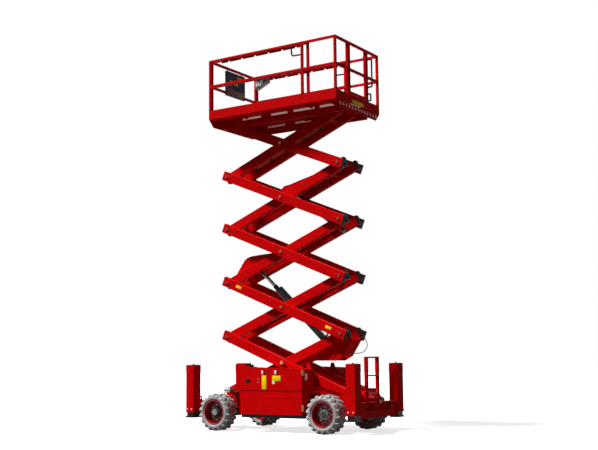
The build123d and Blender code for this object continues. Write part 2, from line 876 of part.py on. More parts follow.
def outrigger_beam(centre_x):
    """A cross beam with a hollow column at each end."""
    half = column_width / 2
    inner_face = column_outer_face - column_width
    join = inner_face + 2
    beam_x0 = centre_x - outrigger_beam_length / 2
    beam_x1 = centre_x + outrigger_beam_length / 2
    shape = block(beam_x0, beam_x1, -join, join, spine_top, outrigger_beam_top)
    shape += block(beam_x0, beam_x1, -join, join, outrigger_beam_bottom, spine_bottom)
    x0 = centre_x - column_length / 2
    x1 = centre_x + column_length / 2
    for side in (-1, 1):
        y = side * (column_outer_face - half)
        column = block(x0, x1, y - half, y + half, column_bottom, column_top)
        column += block(x0 - column_flare, x1 + column_flare, y - half - column_flare,
                        y + half + column_flare, column_bottom - column_flare_height,
                        column_bottom)
        column -= block(x0 + column_wall, x1 - column_wall, y - half + column_wall,
                        y + half - column_wall, column_bottom - column_flare_height - 1,
                        column_top - column_wall)
        shape += column
        shape += side_block(side, beam_x0, beam_x1, wall_side, join, outrigger_beam_bottom,
                            outrigger_beam_top)
        lug_y = side * lashing_lug_y
        lug_z = outrigger_beam_top + lashing_lug_height
        start = (centre_x - lashing_lug_plate / 2, lug_y, lug_z)
        end = (centre_x + lashing_lug_plate / 2, lug_y, lug_z)
        lug = block(start[0], end[0], lug_y - lashing_lug_radius, lug_y + lashing_lug_radius,
                    outrigger_beam_top, lug_z)
        lug += rod_between(start, end, lashing_lug_radius)
        shape += lug - rod_between(start, end, lashing_hole_radius)
    return shape


def outrigger_leg(centre_x, side):
    y = side * (column_outer_face - column_width / 2)
    inset = column_wall + leg_clearance
    half_x = column_length / 2 - inset
    half_y = column_width / 2 - inset
    pad_top = leg_pad_bottom + leg_pad_thickness
    leg = block(centre_x - half_x, centre_x + half_x, y - half_y, y + half_y,
                pad_top, column_top - column_wall - leg_top_gap)
    pad_x = half_x + leg_pad_margin
    pad_y = half_y + leg_pad_margin
    leg += block(centre_x - pad_x, centre_x + pad_x, y - pad_y, y + pad_y, leg_pad_bottom, pad_top)
    return leg


# ---- side compartments

def door_outlines():
    upper = [(door_front, door_seam + seam_width / 2), (door_front, door_hood_top),
             (door_hood_rear, door_hood_top), (door_hood_rear + door_hood_run, door_top_front + 6),
             (door_hood_rear + door_slope_run, door_top_front), (door_rear, door_top_rear),
             (door_rear, door_seam + seam_width / 2)]
    lower = [(door_lower_front, door_bottom), (door_lower_front, door_seam - seam_width / 2),
             (door_rear, door_seam - seam_width / 2), (door_rear, door_bottom)]
    return upper, lower


def door(side):
    """Two pressed pans joined behind their seam, with the hinge sleeves."""
    inner = door_outer_face - door_depth
    shape = None
    for outline in door_outlines():
        wire = Polyline(*[(x, side * inner, z) for x, z in outline], close=True)
        face = make_face(wire)
        panel = extrude(face, amount=door_depth, dir=(0, side, 0))
        pocket = extrude(offset(face, -door_skin), amount=door_depth - door_skin, dir=(0, side, 0))
        panel -= pocket
        shape = panel if shape is None else shape + panel
    strip_face = door_outer_face - seam_strip_set
    shape += side_block(side, door_lower_front, door_rear, strip_face - seam_strip_depth,
                        strip_face, door_seam - seam_strip_half_height,
                        door_seam + seam_strip_half_height)
    pin_x = door_rear + hinge_radius
    pin_y = side * (door_outer_face - hinge_radius)
    for z in (hinge_low, hinge_high):
        z0 = z - hinge_half_length
        z1 = z + hinge_half_length
        shape += upright(pin_x, pin_y, hinge_radius, z0, z1)
        shape += side_block(side, door_rear - 10, pin_x, door_outer_face - 20,
                            door_outer_face - 8, z0, z1)
        shape -= upright(pin_x, pin_y, hinge_pin_radius + running_gap, z0 - 5, z1 + 5)
    return shape


tray_outer = door_outer_face - door_depth - door_gap
tray_front = door_lower_front + tray_inset
tray_rear = door_rear - tray_inset


def side_tray(side):
    """The compartment behind a door: floor, roof, ends and back, with its hinge pins."""
    x0 = tray_front
    x1 = tray_rear
    inner = wall_side
    outer = tray_outer
    z0 = door_bottom
    z1 = door_top_rear - tray_inset
    tray = side_block(side, x0, x1, inner, outer, z0, z0 + tray_wall)
    tray += side_block(side, x0, x1, inner, outer, z1 - tray_wall, z1)
    tray += side_block(side, x0, x0 + tray_wall, inner, outer, z0, z1)
    tray += side_block(side, x1 - tray_wall, x1, inner, outer, z0, z1)
    tray += side_block(side, x0, x1, inner, inner + tray_wall, z0, z1)
    pin_x = door_rear + hinge_radius
    pin_line = door_outer_face - hinge_radius
    for z in (hinge_low, hinge_high):
        reach = hinge_half_length + 20
        tray += upright(pin_x, side * pin_line, hinge_pin_radius, z - reach, z + reach)
        for end in (z - hinge_half_length - 6 - hinge_leaf, z + hinge_half_length + 6):
            tray += side_block(side, x1 - 4, pin_x + 8, outer - 18, outer, end, end + hinge_leaf)
            tray += side_block(side, pin_x - 8, pin_x + 8, outer - 18, pin_line + 8, end,
                               end + hinge_leaf)
    return tray


def skid_strips():
    """A black skid under each compartment."""
    result = []
    for side in (-1, 1):
        result.append(side_block(side, tray_front - skid_front_run, tray_rear,
                                 wall_side + tray_back_gap, tray_outer, skid_bottom, door_bottom))
    return Compound(result)


def power_block(side):
    y0 = wall_side + tray_wall
    y1 = tray_outer - tray_back_gap
    return side_block(side, door_lower_front + power_block_margin, door_rear - power_block_margin,
                      y0, y1, door_bottom + tray_wall, power_block_top)


ladder_back_x = ladder_face_x - ladder_stringer_depth
ladder_y0 = ladder_centre_y - ladder_width / 2
ladder_y1 = ladder_centre_y + ladder_width / 2


def ladder():
    x0 = ladder_back_x
    beam_face = rear_column_x + outrigger_beam_length / 2
    shape = None
    for y in (ladder_y0, ladder_y1 - ladder_stringer):
        stringer = block(x0, ladder_face_x, y, y + ladder_stringer, ladder_bottom, ladder_top)
        bracket = [(beam_face, ladder_bracket_bottom), (beam_face, outrigger_beam_top + 6),
                   (x0, ladder_bracket_top), (ladder_face_x, ladder_bracket_top),
                   (ladder_face_x, ladder_bracket_chin),
                   (ladder_face_x - 20, ladder_bracket_bottom)]
        stringer += side_plate(bracket, y + ladder_bracket_inset,
                               y + ladder_stringer - ladder_bracket_inset)
        shape = stringer if shape is None else shape + stringer
    shape += block(x0, ladder_face_x, ladder_y0, ladder_y1, ladder_bar_height,
                   ladder_bar_height + ladder_bar_depth)
    return shape


def ladder_rungs():
    """Square rungs between the stringers."""
    result = []
    for index in range(rung_count):
        z = ladder_top - rung_size - index * rung_pitch
        result.append(block(ladder_back_x + rung_inset, ladder_face_x - rung_inset,
                            ladder_y0 + ladder_stringer, ladder_y1 - ladder_stringer,
                            z, z + rung_size))
    return Compound(result)


# ---- platform

# The slots in the webs of the deck's side beams: (centre x, length).
web_slots = ((-600, 420), (20, 360), (560, 460), (1050, 300))


def platform_deck():
    half = deck_half_width
    deck = block(deck_front, deck_rear, -half + 2, half - 2, deck_plate_bottom, deck_top)
    toe = [(deck_front + toe_chamfer_run, deck_edge_bottom),
           (deck_front, deck_edge_bottom + toe_chamfer_rise), (deck_front, deck_edge_top),
           (deck_rear, deck_edge_top), (deck_rear, deck_edge_bottom + toe_chamfer_rise),
           (deck_rear - toe_chamfer_run, deck_edge_bottom)]
    for a, b in both_sides(half - toe_thickness, half):
        deck += side_plate(toe, a, b)
    deck += block(deck_rear - toe_thickness, deck_rear, -half + 2, half - 2, deck_plate_bottom,
                  deck_edge_top)
    # end skirts, cut back to the edges at their corners
    skirt = [(-half + 2, deck_top), (-half + 2, deck_edge_bottom + 6),
             (-skirt_half_width, skirt_bottom), (skirt_half_width, skirt_bottom),
             (half - 2, deck_edge_bottom + 6), (half - 2, deck_top)]
    rear_skirt = end_plate(skirt, beam_end, deck_rear)
    vent_low = skirt_bottom + vent_rise
    for index in range(vent_count):
        y = (index - (vent_count - 1) / 2) * vent_pitch
        rear_skirt -= block(beam_end - 1, deck_rear + 1, y - vent_width / 2, y + vent_width / 2,
                            vent_low, vent_low + vent_height)
    deck += rear_skirt
    deck += end_plate(skirt, deck_front, deck_front + deck_end_plate)
    # side beams: a web with a lip outside and the track of the sliding pin inside
    web = [(deck_front + beam_front_run, beam_bottom), (deck_front + 4, deck_plate_bottom),
           (beam_end, deck_plate_bottom), (beam_end, deck_plate_bottom - 60),
           (deck_rear - beam_rear_run, beam_bottom)]
    slot_top = deck_plate_bottom - web_slot_top_gap
    for a, b in both_sides(wall_face, wall_side):
        plate = side_plate(web, a, b)
        for x, length in web_slots:
            plate -= block(x - length / 2, x + length / 2, a, b, slot_top - web_slot_height,
                           slot_top)
        plate -= cross_pin(front_pin_x, top_pin_height, pin_radius + running_gap, a, b)
        deck += plate
    for side in (-1, 1):
        deck += side_block(side, deck_front + beam_front_run, deck_rear - beam_rear_run,
                           wall_side - 2, wall_side + beam_lip_width, beam_bottom,
                           beam_bottom + track_flange)
    for a, b in both_sides(track_face, wall_face):
        for z0 in (top_pin_height + track_half_slot,
                   top_pin_height - track_half_slot - track_flange):
            deck += block(track_front, beam_end, a, b, z0, z0 + track_flange)
    # cross channels between the beams and the edges
    first = deck_front + cross_channel_front_gap
    step = (deck_rear - cross_channel_rear_gap - first) / (cross_channel_count - 1)
    for index in range(cross_channel_count):
        x = first + index * step
        for a, b in both_sides(wall_side, half - toe_thickness):
            deck += block(x - cross_channel_width / 2, x + cross_channel_width / 2, a, b,
                          deck_edge_bottom - 4, deck_plate_bottom)
    return deck


def slide_pads():
    """Nylon pads that close the slots in the webs, and those the roll-out deck runs on."""
    slot_top = deck_plate_bottom - web_slot_top_gap
    result = []
    for a, b in both_sides(wall_face + 1, wall_side - 1):
        for x, length in web_slots:
            result.append(block(x - length / 2, x + length / 2, a, b,
                                slot_top - web_slot_height, slot_top))
    for x in slide_pad_places:
        for side in (-1, 1):
            result.append(side_block(side, x - slide_pad_length / 2, x + slide_pad_length / 2,
                                     extension_y_line - slide_pad_width / 2,
                                     extension_y_line + slide_pad_width / 2, deck_top,
                                     extension_floor - slide_pad_gap))
    return Compound(result)


def post(x, y, z0, z1):
    half = rail_tube / 2
    return block(x - half, x + half, y - half, y + half, z0, z1)


def rail_x(x0, x1, y, z_top):
    half = rail_tube / 2
    return block(x0, x1, y - half, y + half, z_top - rail_tube, z_top)


def rail_y(y0, y1, x, z_top):
    half = rail_tube / 2
    return block(x - half, x + half, y0, y1, z_top - rail_tube, z_top)


rail_y_line = deck_half_width - rail_tube / 2
rear_rail_x = deck_rear - rail_tube / 2
front_rail_x = deck_front + rail_tube / 2
extension_y_line = rail_y_line - rail_tube - rail_inset_gap
extension_floor = deck_top + extension_gap
handle_line = rail_y_line + rail_tube / 2 - handle_radius - 3


def platform_rails(side):
    """One side's rails and the part of the rear end up to the gate."""
    y = side * rail_y_line
    gate_y = gate_far_y if side > 0 else gate_near_y
    shape = post(rear_rail_x, gate_y, deck_edge_top, rail_top)
    for z in (rail_top, rail_mid):
        shape += rail_x(deck_front, deck_rear, y, z)
        shape += rail_y(min(y, gate_y), max(y, gate_y), rear_rail_x, z)
    for x in (front_rail_x, mid_post_x, rear_rail_x):
        shape += post(x, y, deck_edge_top, rail_top)
    # the notched bar that the roll-out deck locks into
    inside = rail_y_line - rail_tube / 2
    low = rail_top - rail_tube - lock_bar_depth
    bar = side_block(side, lock_bar_front, lock_bar_rear, inside, inside + lock_bar_thickness,
                     low, rail_top - rail_tube)
    for index in range(lock_notch_count):
        x = lock_notch_first + index * lock_notch_pitch
        bar -= side_block(side, x - lock_notch_width / 2, x + lock_notch_width / 2, inside - 1,
                          inside + lock_bar_thickness + 1, low - 1, low + lock_notch_depth)
    return shape + bar


def extension_deck():
    z0 = extension_floor
    half = deck_half_width - toe_thickness - rail_inset_gap
    rear = deck_front + extension_deck_length
    deck = block(deck_front, rear, -half, half, z0, z0 + extension_plate)
    deck += block(deck_front, deck_front + toe_thickness, -half, half, z0,
                  deck_edge_top - extension_toe_drop)
    for a, b in both_sides(half - 10, half):
        deck += block(deck_front, rear, a, b, z0, deck_edge_top - 2 * extension_toe_drop)
    return deck


def extension_rails():
    y = extension_y_line
    foot = extension_floor + extension_plate
    rear_x = deck_front + extension_deck_length - rail_tube / 2
    lead_x = deck_front + rail_tube / 2
    shape = None
    for side in (-1, 1):
        for z in (rail_top, rail_mid):
            bar = rail_x(deck_front, rear_x + rail_tube / 2, side * y, z)
            shape = bar if shape is None else shape + bar
        shape += post(lead_x, side * y, deck_edge_top - extension_toe_drop, rail_top)
        shape += post(rear_x, side * y, foot, rail_top)
    for z in (rail_top, rail_mid):
        shape += rail_y(-y, y, lead_x, z)
    return shape


def gate():
    inset = rail_tube / 2 + gate_gap
    y0 = gate_near_y + inset
    y1 = gate_far_y - inset
    x = rear_rail_x
    low = deck_edge_top + 20
    shape = rail_y(y0, y1, x, rail_top) + rail_y(y0, y1, x, rail_mid)
    for y in (y0 + rail_tube / 2, y1 - rail_tube / 2):
        shape += post(x, y, low, rail_top)
    shape += rail_y(y0, y1, x, low + rail_tube)
    hinge_y = y0 + rail_tube / 2
    for z in (low + gate_collar_rise, rail_mid + gate_collar_rise, rail_top - gate_collar_drop):
        shape += upright(x, hinge_y, gate_collar_radius, z, z + gate_collar_length)
    return shape


def deck_handles():
    """Black hoops under the top rails and grab handles on the far gate post."""
    result = []
    rail_under = rail_top - rail_tube
    hoop_low = rail_top - rail_tube - hoop_drop
    for side in (-1, 1):
        y = side * handle_line
        result.append(bent_bar([(hoop_front_x, y, rail_under), (hoop_front_x, y, hoop_low),
                                (mid_post_x - rail_tube / 2, y, hoop_low)], handle_radius,
                               handle_bend))
    for z0, z1, reach in ((rail_mid - grab_drop, rail_mid + grab_rise, grab_stand_off),
                          (deck_edge_top + low_grab_foot, deck_edge_top + low_grab_head,
                           low_grab_stand_off)):
        result.append(bent_bar([(deck_rear, gate_far_y, z0), (deck_rear + reach, gate_far_y, z0),
                                (deck_rear + reach, gate_far_y, z1), (deck_rear, gate_far_y, z1)],
                               handle_radius, handle_bend / 2))
    return Compound(result)


def control_box():
    """The operator's box, hung by two straps inside the far rail of the roll-out deck."""
    back = extension_y_line - rail_tube / 2
    top = rail_top - box_top_drop
    low = top - box_height
    profile = [(box_front, top), (box_rear, top), (box_rear, low + box_wedge_rise),
               (box_rear - box_wedge_run, low), (box_front, low)]
    shape = side_plate(profile, back - box_strap - box_depth, back - box_strap)
    for x in (box_front + 30, box_rear - 30 - box_strap_width):
        shape += block(x, x + box_strap_width, back - box_strap, back, top - 60, rail_top - 12)
    return shape


def end_panel():
    """The closed case on the inside of the front rail."""
    x = deck_front + rail_tube
    top = rail_top - panel_top_drop
    shape = block(x, x + panel_thickness, panel_near_y, panel_far_y, top - panel_height, top)
    for y in (panel_near_y + 60, panel_far_y - 60 - box_strap_width):
        shape += block(x, x + box_strap, y, y + box_strap_width, top - 10, rail_top - 12)
    return shape


sub_parts = {
    "chassis_frame": chassis_frame(),
    "front_outrigger_beam": outrigger_beam(front_column_x),
    "rear_outrigger_beam": outrigger_beam(rear_column_x),
    "front_axle": front_axle(),
    "rear_axle": rear_axle(),
    "front_motor": front_motor(),
    "beacon": beacon(),
    "skid_strips": skid_strips(),
    "ladder": ladder(),
    "ladder_rungs": ladder_rungs(),
    "tie_rod": tie_rod(),
    "platform_deck": platform_deck(),
    "slide_pads": slide_pads(),
    "deck_handles": deck_handles(),
    "extension_deck": extension_deck(),
    "extension_rails": extension_rails(),
    "gate": gate(),
    "control_box": control_box(),
    "end_panel": end_panel(),
}

lugged_tyre = tyre()
for name, side in (("left", -1), ("right", 1)):
    sub_parts[name + "_platform_rails"] = platform_rails(side)
    sub_parts[name + "_tray"] = side_tray(side)
    sub_parts[name + "_door"] = door(side)
    sub_parts[name + "_power_block"] = power_block(side)
    sub_parts[name + "_knuckle"] = knuckle(side)
    for end, column_x, axle_x in (("front", front_column_x, front_axle_x),
                                  ("rear", rear_column_x, rear_axle_x)):
        centre = Pos(axle_x, side * wheel_track / 2, wheel_radius)
        sub_parts[end + "_" + name + "_leg"] = outrigger_leg(column_x, side)
        sub_parts[end + "_" + name + "_rim"] = centre * rim(side)
        sub_parts[end + "_" + name + "_tyre"] = centre * lugged_tyre

for stage in range(1, stage_count + 1):
    sub_parts["inner_arms_%d" % stage] = place_inner(stage, inner_frame(stage))
    sub_parts["outer_arms_%d" % stage] = place_outer(stage, outer_frame(stage))

# Each cylinder's barrel ends short of the rod's eye with the stack down, and its rod
# reaches almost to the barrel's foot there.
for name, base_at, eye_at, radius, head_room, piston_room in (
        ("lower", lower_base_at, lower_eye_at, lower_barrel_radius, lower_head_room,
         lower_piston_room),
        ("upper", upper_base_at, upper_eye_at, upper_barrel_radius, upper_head_room,
         upper_piston_room)):
    now = pin_distance(base_at, eye_at, lift_angle)
    closed = pin_distance(base_at, eye_at, lowest_angle)
    full_length = closed - head_room
    body = barrel(radius, full_length)
    if name == "lower":
        body += port_block(radius, full_length)
    body -= rod_bore(full_length)
    sub_parts[name + "_barrel"] = place_cylinder(base_at, eye_at, body)
    sub_parts[name + "_rod"] = place_cylinder(base_at, eye_at, rod(now, now - closed + piston_room))

os.makedirs("parts", exist_ok=True)
for name, shape in sub_parts.items():
    export_step(shape, "parts/%s.step" % name)
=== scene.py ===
import json
import math

import bpy
import bmesh
from mathutils import Matrix, Vector


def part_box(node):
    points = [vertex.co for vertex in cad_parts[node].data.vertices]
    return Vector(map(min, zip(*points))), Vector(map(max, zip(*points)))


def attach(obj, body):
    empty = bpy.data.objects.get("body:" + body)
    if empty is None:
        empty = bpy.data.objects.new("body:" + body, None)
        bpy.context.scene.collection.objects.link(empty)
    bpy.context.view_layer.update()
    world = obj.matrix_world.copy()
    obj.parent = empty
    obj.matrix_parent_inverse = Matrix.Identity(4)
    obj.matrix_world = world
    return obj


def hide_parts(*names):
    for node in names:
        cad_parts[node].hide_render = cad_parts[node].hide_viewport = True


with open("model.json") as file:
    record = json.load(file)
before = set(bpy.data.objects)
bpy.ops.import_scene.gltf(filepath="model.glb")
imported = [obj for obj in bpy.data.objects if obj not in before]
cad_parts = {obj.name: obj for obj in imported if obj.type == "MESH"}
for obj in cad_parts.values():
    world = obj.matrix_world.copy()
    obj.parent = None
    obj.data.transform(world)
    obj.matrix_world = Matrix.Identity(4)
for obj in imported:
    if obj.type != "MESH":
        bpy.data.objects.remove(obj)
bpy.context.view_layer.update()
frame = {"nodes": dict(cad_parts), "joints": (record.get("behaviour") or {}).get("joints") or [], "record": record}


# camera

cameraSetup = {
    "place": (10.219, -15.494, 1.2815),
    "azimuth": 32.99,
    "pitch": 7.48,
    "roll": -0.64,
    "lens": 60.92,
    "sensor": 36.0,
    "farthest": 200.0,
}


def makeCamera(setup):
    data = bpy.data.cameras.new("camera")
    data.lens = setup["lens"]
    data.sensor_width = setup["sensor"]
    data.clip_end = setup["farthest"]
    camera = bpy.data.objects.new("camera", data)
    bpy.context.collection.objects.link(camera)
    azimuth = math.radians(setup["azimuth"])
    pitch = math.radians(setup["pitch"])
    roll = math.radians(setup["roll"])
    right = Vector((math.cos(azimuth), math.sin(azimuth), 0))
    forward = Vector((-math.sin(azimuth) * math.cos(pitch),
                      math.cos(azimuth) * math.cos(pitch), math.sin(pitch)))
    up = right.cross(forward)
    sideways = right * math.cos(roll) + up * math.sin(roll)
    upwards = up * math.cos(roll) - right * math.sin(roll)
    turn = Matrix((sideways, upwards, -forward)).transposed()
    camera.matrix_world = Matrix.Translation(setup["place"]) @ turn.to_4x4()
    bpy.context.scene.camera = camera


makeCamera(cameraSetup)
print("camera placed")


# studio: a key light from the front left, a weak one from behind, and low fill

studio = {
    "floorSize": 120.0,
    "floorSeen": (0.9, 0.9, 0.9, 1),
    "floorGlow": 0.74,
    "floorBounce": (0.1, 0.1, 0.1, 1),
    "fillLight": 0.075,
    "keyPower": 5.0,
    "keySoftness": 8.0,
    "keyFrom": (-0.33, -0.43, 0.84),
    "backPower": 0.3,
    "backSoftness": 30.0,
    "backFrom": (-0.45, 0.8, 0.4),
}


def clearTree(owner):
    owner.use_nodes = True
    owner.node_tree.nodes.clear()
    return owner.node_tree.nodes, owner.node_tree.links


def seenDirectly(nodes, links):
    # 1 for what the camera or a shiny surface sees, and 0 for light that only bounces
    path = nodes.new("ShaderNodeLightPath")
    either = nodes.new("ShaderNodeMath")
    either.operation = "MAXIMUM"
    links.new(path.outputs["Is Camera Ray"], either.inputs[0])
    links.new(path.outputs["Is Glossy Ray"], either.inputs[1])
    return path, either.outputs[0]


def makeWorld(setup):
    world = bpy.data.worlds.new("studioWorld")
    bpy.context.scene.world = world
    nodes, links = clearTree(world)
    output = nodes.new("ShaderNodeOutputWorld")
    mix = nodes.new("ShaderNodeMixShader")
    soft = nodes.new("ShaderNodeBackground")
    white = nodes.new("ShaderNodeBackground")
    anyOf = nodes.new("ShaderNodeMath")
    anyOf.operation = "MAXIMUM"
    for light, strength in ((soft, setup["fillLight"]), (white, 1.0)):
        light.inputs["Color"].default_value = (1, 1, 1, 1)
        light.inputs["Strength"].default_value = strength
    path, seen = seenDirectly(nodes, links)
    links.new(seen, anyOf.inputs[0])
    links.new(path.outputs["Is Transmission Ray"], anyOf.inputs[1])
    links.new(anyOf.outputs[0], mix.inputs["Fac"])
    links.new(soft.outputs[0], mix.inputs[1])
    links.new(white.outputs[0], mix.inputs[2])
    links.new(mix.outputs[0], output.inputs["Surface"])


def makeSun(name, power, comesFrom, softness, glossy=True):
    data = bpy.data.lights.new(name, "SUN")
    data.energy = power
    data.angle = math.radians(softness)
    lamp = bpy.data.objects.new(name, data)
    lamp.rotation_euler = Vector(comesFrom).to_track_quat("Z", "Y").to_euler()
    lamp.visible_glossy = glossy
    bpy.context.collection.objects.link(lamp)


def makeFloor(setup):
    mesh = bmesh.new()
    bmesh.ops.create_grid(mesh, x_segments=1, y_segments=1, size=setup["floorSize"] / 2)
    data = bpy.data.meshes.new("floor")
    mesh.to_mesh(data)
    mesh.free()
    floor = bpy.data.objects.new("floor", data)
    bpy.context.collection.objects.link(floor)
    material = bpy.data.materials.new("floorPaper")
    nodes, links = clearTree(material)
    output = nodes.new("ShaderNodeOutputMaterial")
    seen = nodes.new("ShaderNodeBsdfDiffuse")
    glow = nodes.new("ShaderNodeEmission")
    both = nodes.new("ShaderNodeAddShader")
    bounce = nodes.new("ShaderNodeBsdfDiffuse")
    mix = nodes.new("ShaderNodeMixShader")
    seen.inputs["Color"].default_value = setup["floorSeen"]
    glow.inputs["Strength"].default_value = setup["floorGlow"]
    bounce.inputs["Color"].default_value = setup["floorBounce"]
    links.new(seenDirectly(nodes, links)[1], mix.inputs["Fac"])
    links.new(seen.outputs[0], both.inputs[0])
    links.new(glow.outputs[0], both.inputs[1])
    links.new(bounce.outputs[0], mix.inputs[1])
    links.new(both.outputs[0], mix.inputs[2])
    links.new(mix.outputs[0], output.inputs["Surface"])
    data.materials.append(material)


makeWorld(studio)
makeSun("keyLight", studio["keyPower"], studio["keyFrom"], studio["keySoftness"])
makeSun("backLight", studio["backPower"], studio["backFrom"], studio["backSoftness"], False)
makeFloor(studio)
bpy.context.scene.view_settings.view_transform = "Standard"
print("studio lit")


# finishes

def startMaterial(name):
    material = bpy.data.materials.new(name)
    material.use_nodes = True
    shader = material.node_tree.nodes["Principled BSDF"]
    coords = material.node_tree.nodes.new("ShaderNodeTexCoord")
    return material, shader, coords


def addNoise(material, coords, scale, detail=3.0, roughness=0.5):
    noise = material.node_tree.nodes.new("ShaderNodeTexNoise")
    noise.inputs["Scale"].default_value = scale
    noise.inputs["Detail"].default_value = detail
    noise.inputs["Roughness"].default_value = roughness
    material.node_tree.links.new(coords.outputs["Object"], noise.inputs["Vector"])
    return noise.outputs["Fac"]


def addRamp(material, value, stops):
    ramp = material.node_tree.nodes.new("ShaderNodeValToRGB")
    for element, (position, colour) in zip(ramp.color_ramp.elements, stops):
        element.position = position
        element.color = colour
    material.node_tree.links.new(value, ramp.inputs["Fac"])
    return ramp.outputs["Color"]


def addBump(material, shader, height, strength, distance):
    bump = material.node_tree.nodes.new("ShaderNodeBump")
    bump.inputs["Strength"].default_value = strength
    bump.inputs["Distance"].default_value = distance
    material.node_tree.links.new(height, bump.inputs["Height"])
    material.node_tree.links.new(bump.outputs["Normal"], shader.inputs["Normal"])


# shared by every finish: clouds are (detail, roughness), wear is (scale, detail, roughness)
surface = {
    "cloudNoise": (6.0, 0.62),
    "cloudStops": (0.38, 0.74),
    "wearNoise": (21.0, 5.0, 0.6),
    "wearStops": (0.4, 0.78),
    "wearSpread": 0.18,
    "coatRoughness": 0.14,
    "peelDetail": 2.0,
    "bumpDistance": 0.001,
}


def grey(value):
    return (value, value, value, 1)


def finish(name, colour, worn, roughness, shine=0.5, metal=0.0, coat=0.0, peel=0.05,
           cloudScale=5.0, peelScale=240.0):
    # a cloudy colour, a patchy gloss and a fine surface
    material, shader, coords = startMaterial(name)
    links = material.node_tree.links
    cloud = addNoise(material, coords, cloudScale, *surface["cloudNoise"])
    first, last = surface["cloudStops"]
    links.new(addRamp(material, cloud, ((first, (*colour, 1)), (last, (*worn, 1)))),
              shader.inputs["Base Color"])
    wear = addNoise(material, coords, *surface["wearNoise"])
    first, last = surface["wearStops"]
    rougher = roughness + surface["wearSpread"]
    links.new(addRamp(material, wear, ((first, grey(roughness)), (last, grey(rougher)))),
              shader.inputs["Roughness"])
    shader.inputs["Specular IOR Level"].default_value = shine
    shader.inputs["Metallic"].default_value = metal
    shader.inputs["Coat Weight"].default_value = coat
    shader.inputs["Coat Roughness"].default_value = surface["coatRoughness"]
    addBump(material, shader, addNoise(material, coords, peelScale, surface["peelDetail"]),
            peel, surface["bumpDistance"])
    return material


finishes = {
    "red_paint": finish("redPaint", (0.63, 0.0006, 0.0015), (0.52, 0.0005, 0.0012),
                        0.55, shine=0.03),
    "wheel_paint": finish("wheelPaint", (0.50, 0.002, 0.008), (0.32, 0.002, 0.006),
                          0.36, shine=0.4, coat=0.15),
    "grey_rubber": finish("greyRubber", (0.48, 0.485, 0.485), (0.27, 0.275, 0.275),
                          0.78, shine=0.25, peel=0.25, cloudScale=9.0, peelScale=90.0),
    "black_paint": finish("blackPaint", (0.008, 0.008, 0.009), (0.018, 0.017, 0.017),
                          0.42, shine=0.1),
    "black_plastic": finish("blackPlastic", (0.008, 0.008, 0.008), (0.016, 0.015, 0.015),
                            0.6, shine=0.08, peel=0.2, peelScale=500.0),
    "grey_plastic": finish("greyPlastic", (0.22, 0.225, 0.23), (0.15, 0.155, 0.16),
                           0.5, shine=0.2, peel=0.15, peelScale=420.0),
    "blue_plastic": finish("bluePlastic", (0.016, 0.014, 0.036), (0.010, 0.010, 0.024),
                           0.5, shine=0.1, peel=0.15, peelScale=420.0),
    "deck_metal": finish("deckMetal", (0.36, 0.365, 0.37), (0.25, 0.255, 0.26),
                         0.42, metal=0.6, peel=0.2),
    "chrome_rod": finish("chromeRod", (0.20, 0.20, 0.205), (0.13, 0.13, 0.135),
                         0.16, metal=1.0, peel=0.01),
    "amber_lens": finish("amberLens", (0.85, 0.30, 0.10), (0.78, 0.24, 0.07),
                         0.2, coat=0.4, peel=0.02),
    # the pale nylon's metal sheen is a painted reflection: it lets pads in shade mirror the white world and look
    # lit
    "pale_nylon": finish("paleNylonPaintedSheen", (0.92, 0.80, 0.76), (0.80, 0.68, 0.64), 0.45,
                         metal=0.55),
    "motorGrey": finish("motorGrey", (0.50, 0.50, 0.50), (0.36, 0.36, 0.36), 0.45),
    # the pale of the vent inserts is painted light seen through the vent holes
    "pale": finish("paleStripAndVentLight", (0.92, 0.80, 0.72), (0.80, 0.66, 0.58), 0.5),
    # pink-white bolts: the colour is a painted highlight, a glint with the red paint's pink in it
    "bright": finish("boltPaintedGlint", (0.90, 0.72, 0.68), (0.75, 0.58, 0.54), 0.4),
    "zinc": finish("zincPlate", (0.22, 0.20, 0.17), (0.14, 0.12, 0.10), 0.48, metal=0.4),
    "brass": finish("brassFitting", (0.20, 0.09, 0.035), (0.12, 0.05, 0.02), 0.45,
                    metal=0.4),
    "gold": finish("goldHinge", (0.30, 0.19, 0.05), (0.20, 0.12, 0.035), 0.5),
    "yellow": finish("yellowFilm", (0.95, 0.70, 0.004), (0.88, 0.60, 0.004), 0.5,
                     shine=0.1),
    "orange": finish("orangeFilm", (0.95, 0.30, 0.006), (0.85, 0.24, 0.006), 0.5,
                     shine=0.1),
    "white": finish("whiteFilm", (0.78, 0.78, 0.76), (0.70, 0.70, 0.68), 0.4),
    "darkRed": finish("darkRedPaint", (0.085, 0.002, 0.005), (0.05, 0.001, 0.003),
                      0.45, shine=0.3),
    "hubMetal": finish("hubMetal", (0.22, 0.23, 0.225), (0.12, 0.125, 0.12), 0.45,
                       metal=0.3, cloudScale=30.0),
    "hose": finish("hoseRubber", (0.010, 0.010, 0.010), (0.02, 0.02, 0.019), 0.6,
                   shine=0.12),
    "olivePipe": finish("olivePipe", (0.16, 0.13, 0.06), (0.10, 0.08, 0.04), 0.4,
                        metal=0.4),
    "darkSteel": finish("darkSteel", (0.03, 0.03, 0.028), (0.05, 0.045, 0.04), 0.5,
                        shine=0.15),
    "pinSteel": finish("pinSteel", (0.16, 0.03, 0.02), (0.09, 0.02, 0.014), 0.45,
                       metal=0.3),
    "padGreen": finish("padGreen", (0.03, 0.035, 0.012), (0.018, 0.02, 0.01), 0.6),
}
print("finishes ready:", len(finishes))

slotOf = {row["node"]: row["material_slot"] for row in frame["record"]["subparts"]}
for name, node in frame["nodes"].items():
    for place in node.material_slots:
        place.link = "OBJECT"
        place.material = finishes["motorGrey" if name == "front_motor" else slotOf[name]]


# tools for the pieces

def newVerts(mesh, before):
    return [vert for vert in mesh.verts if vert not in before]


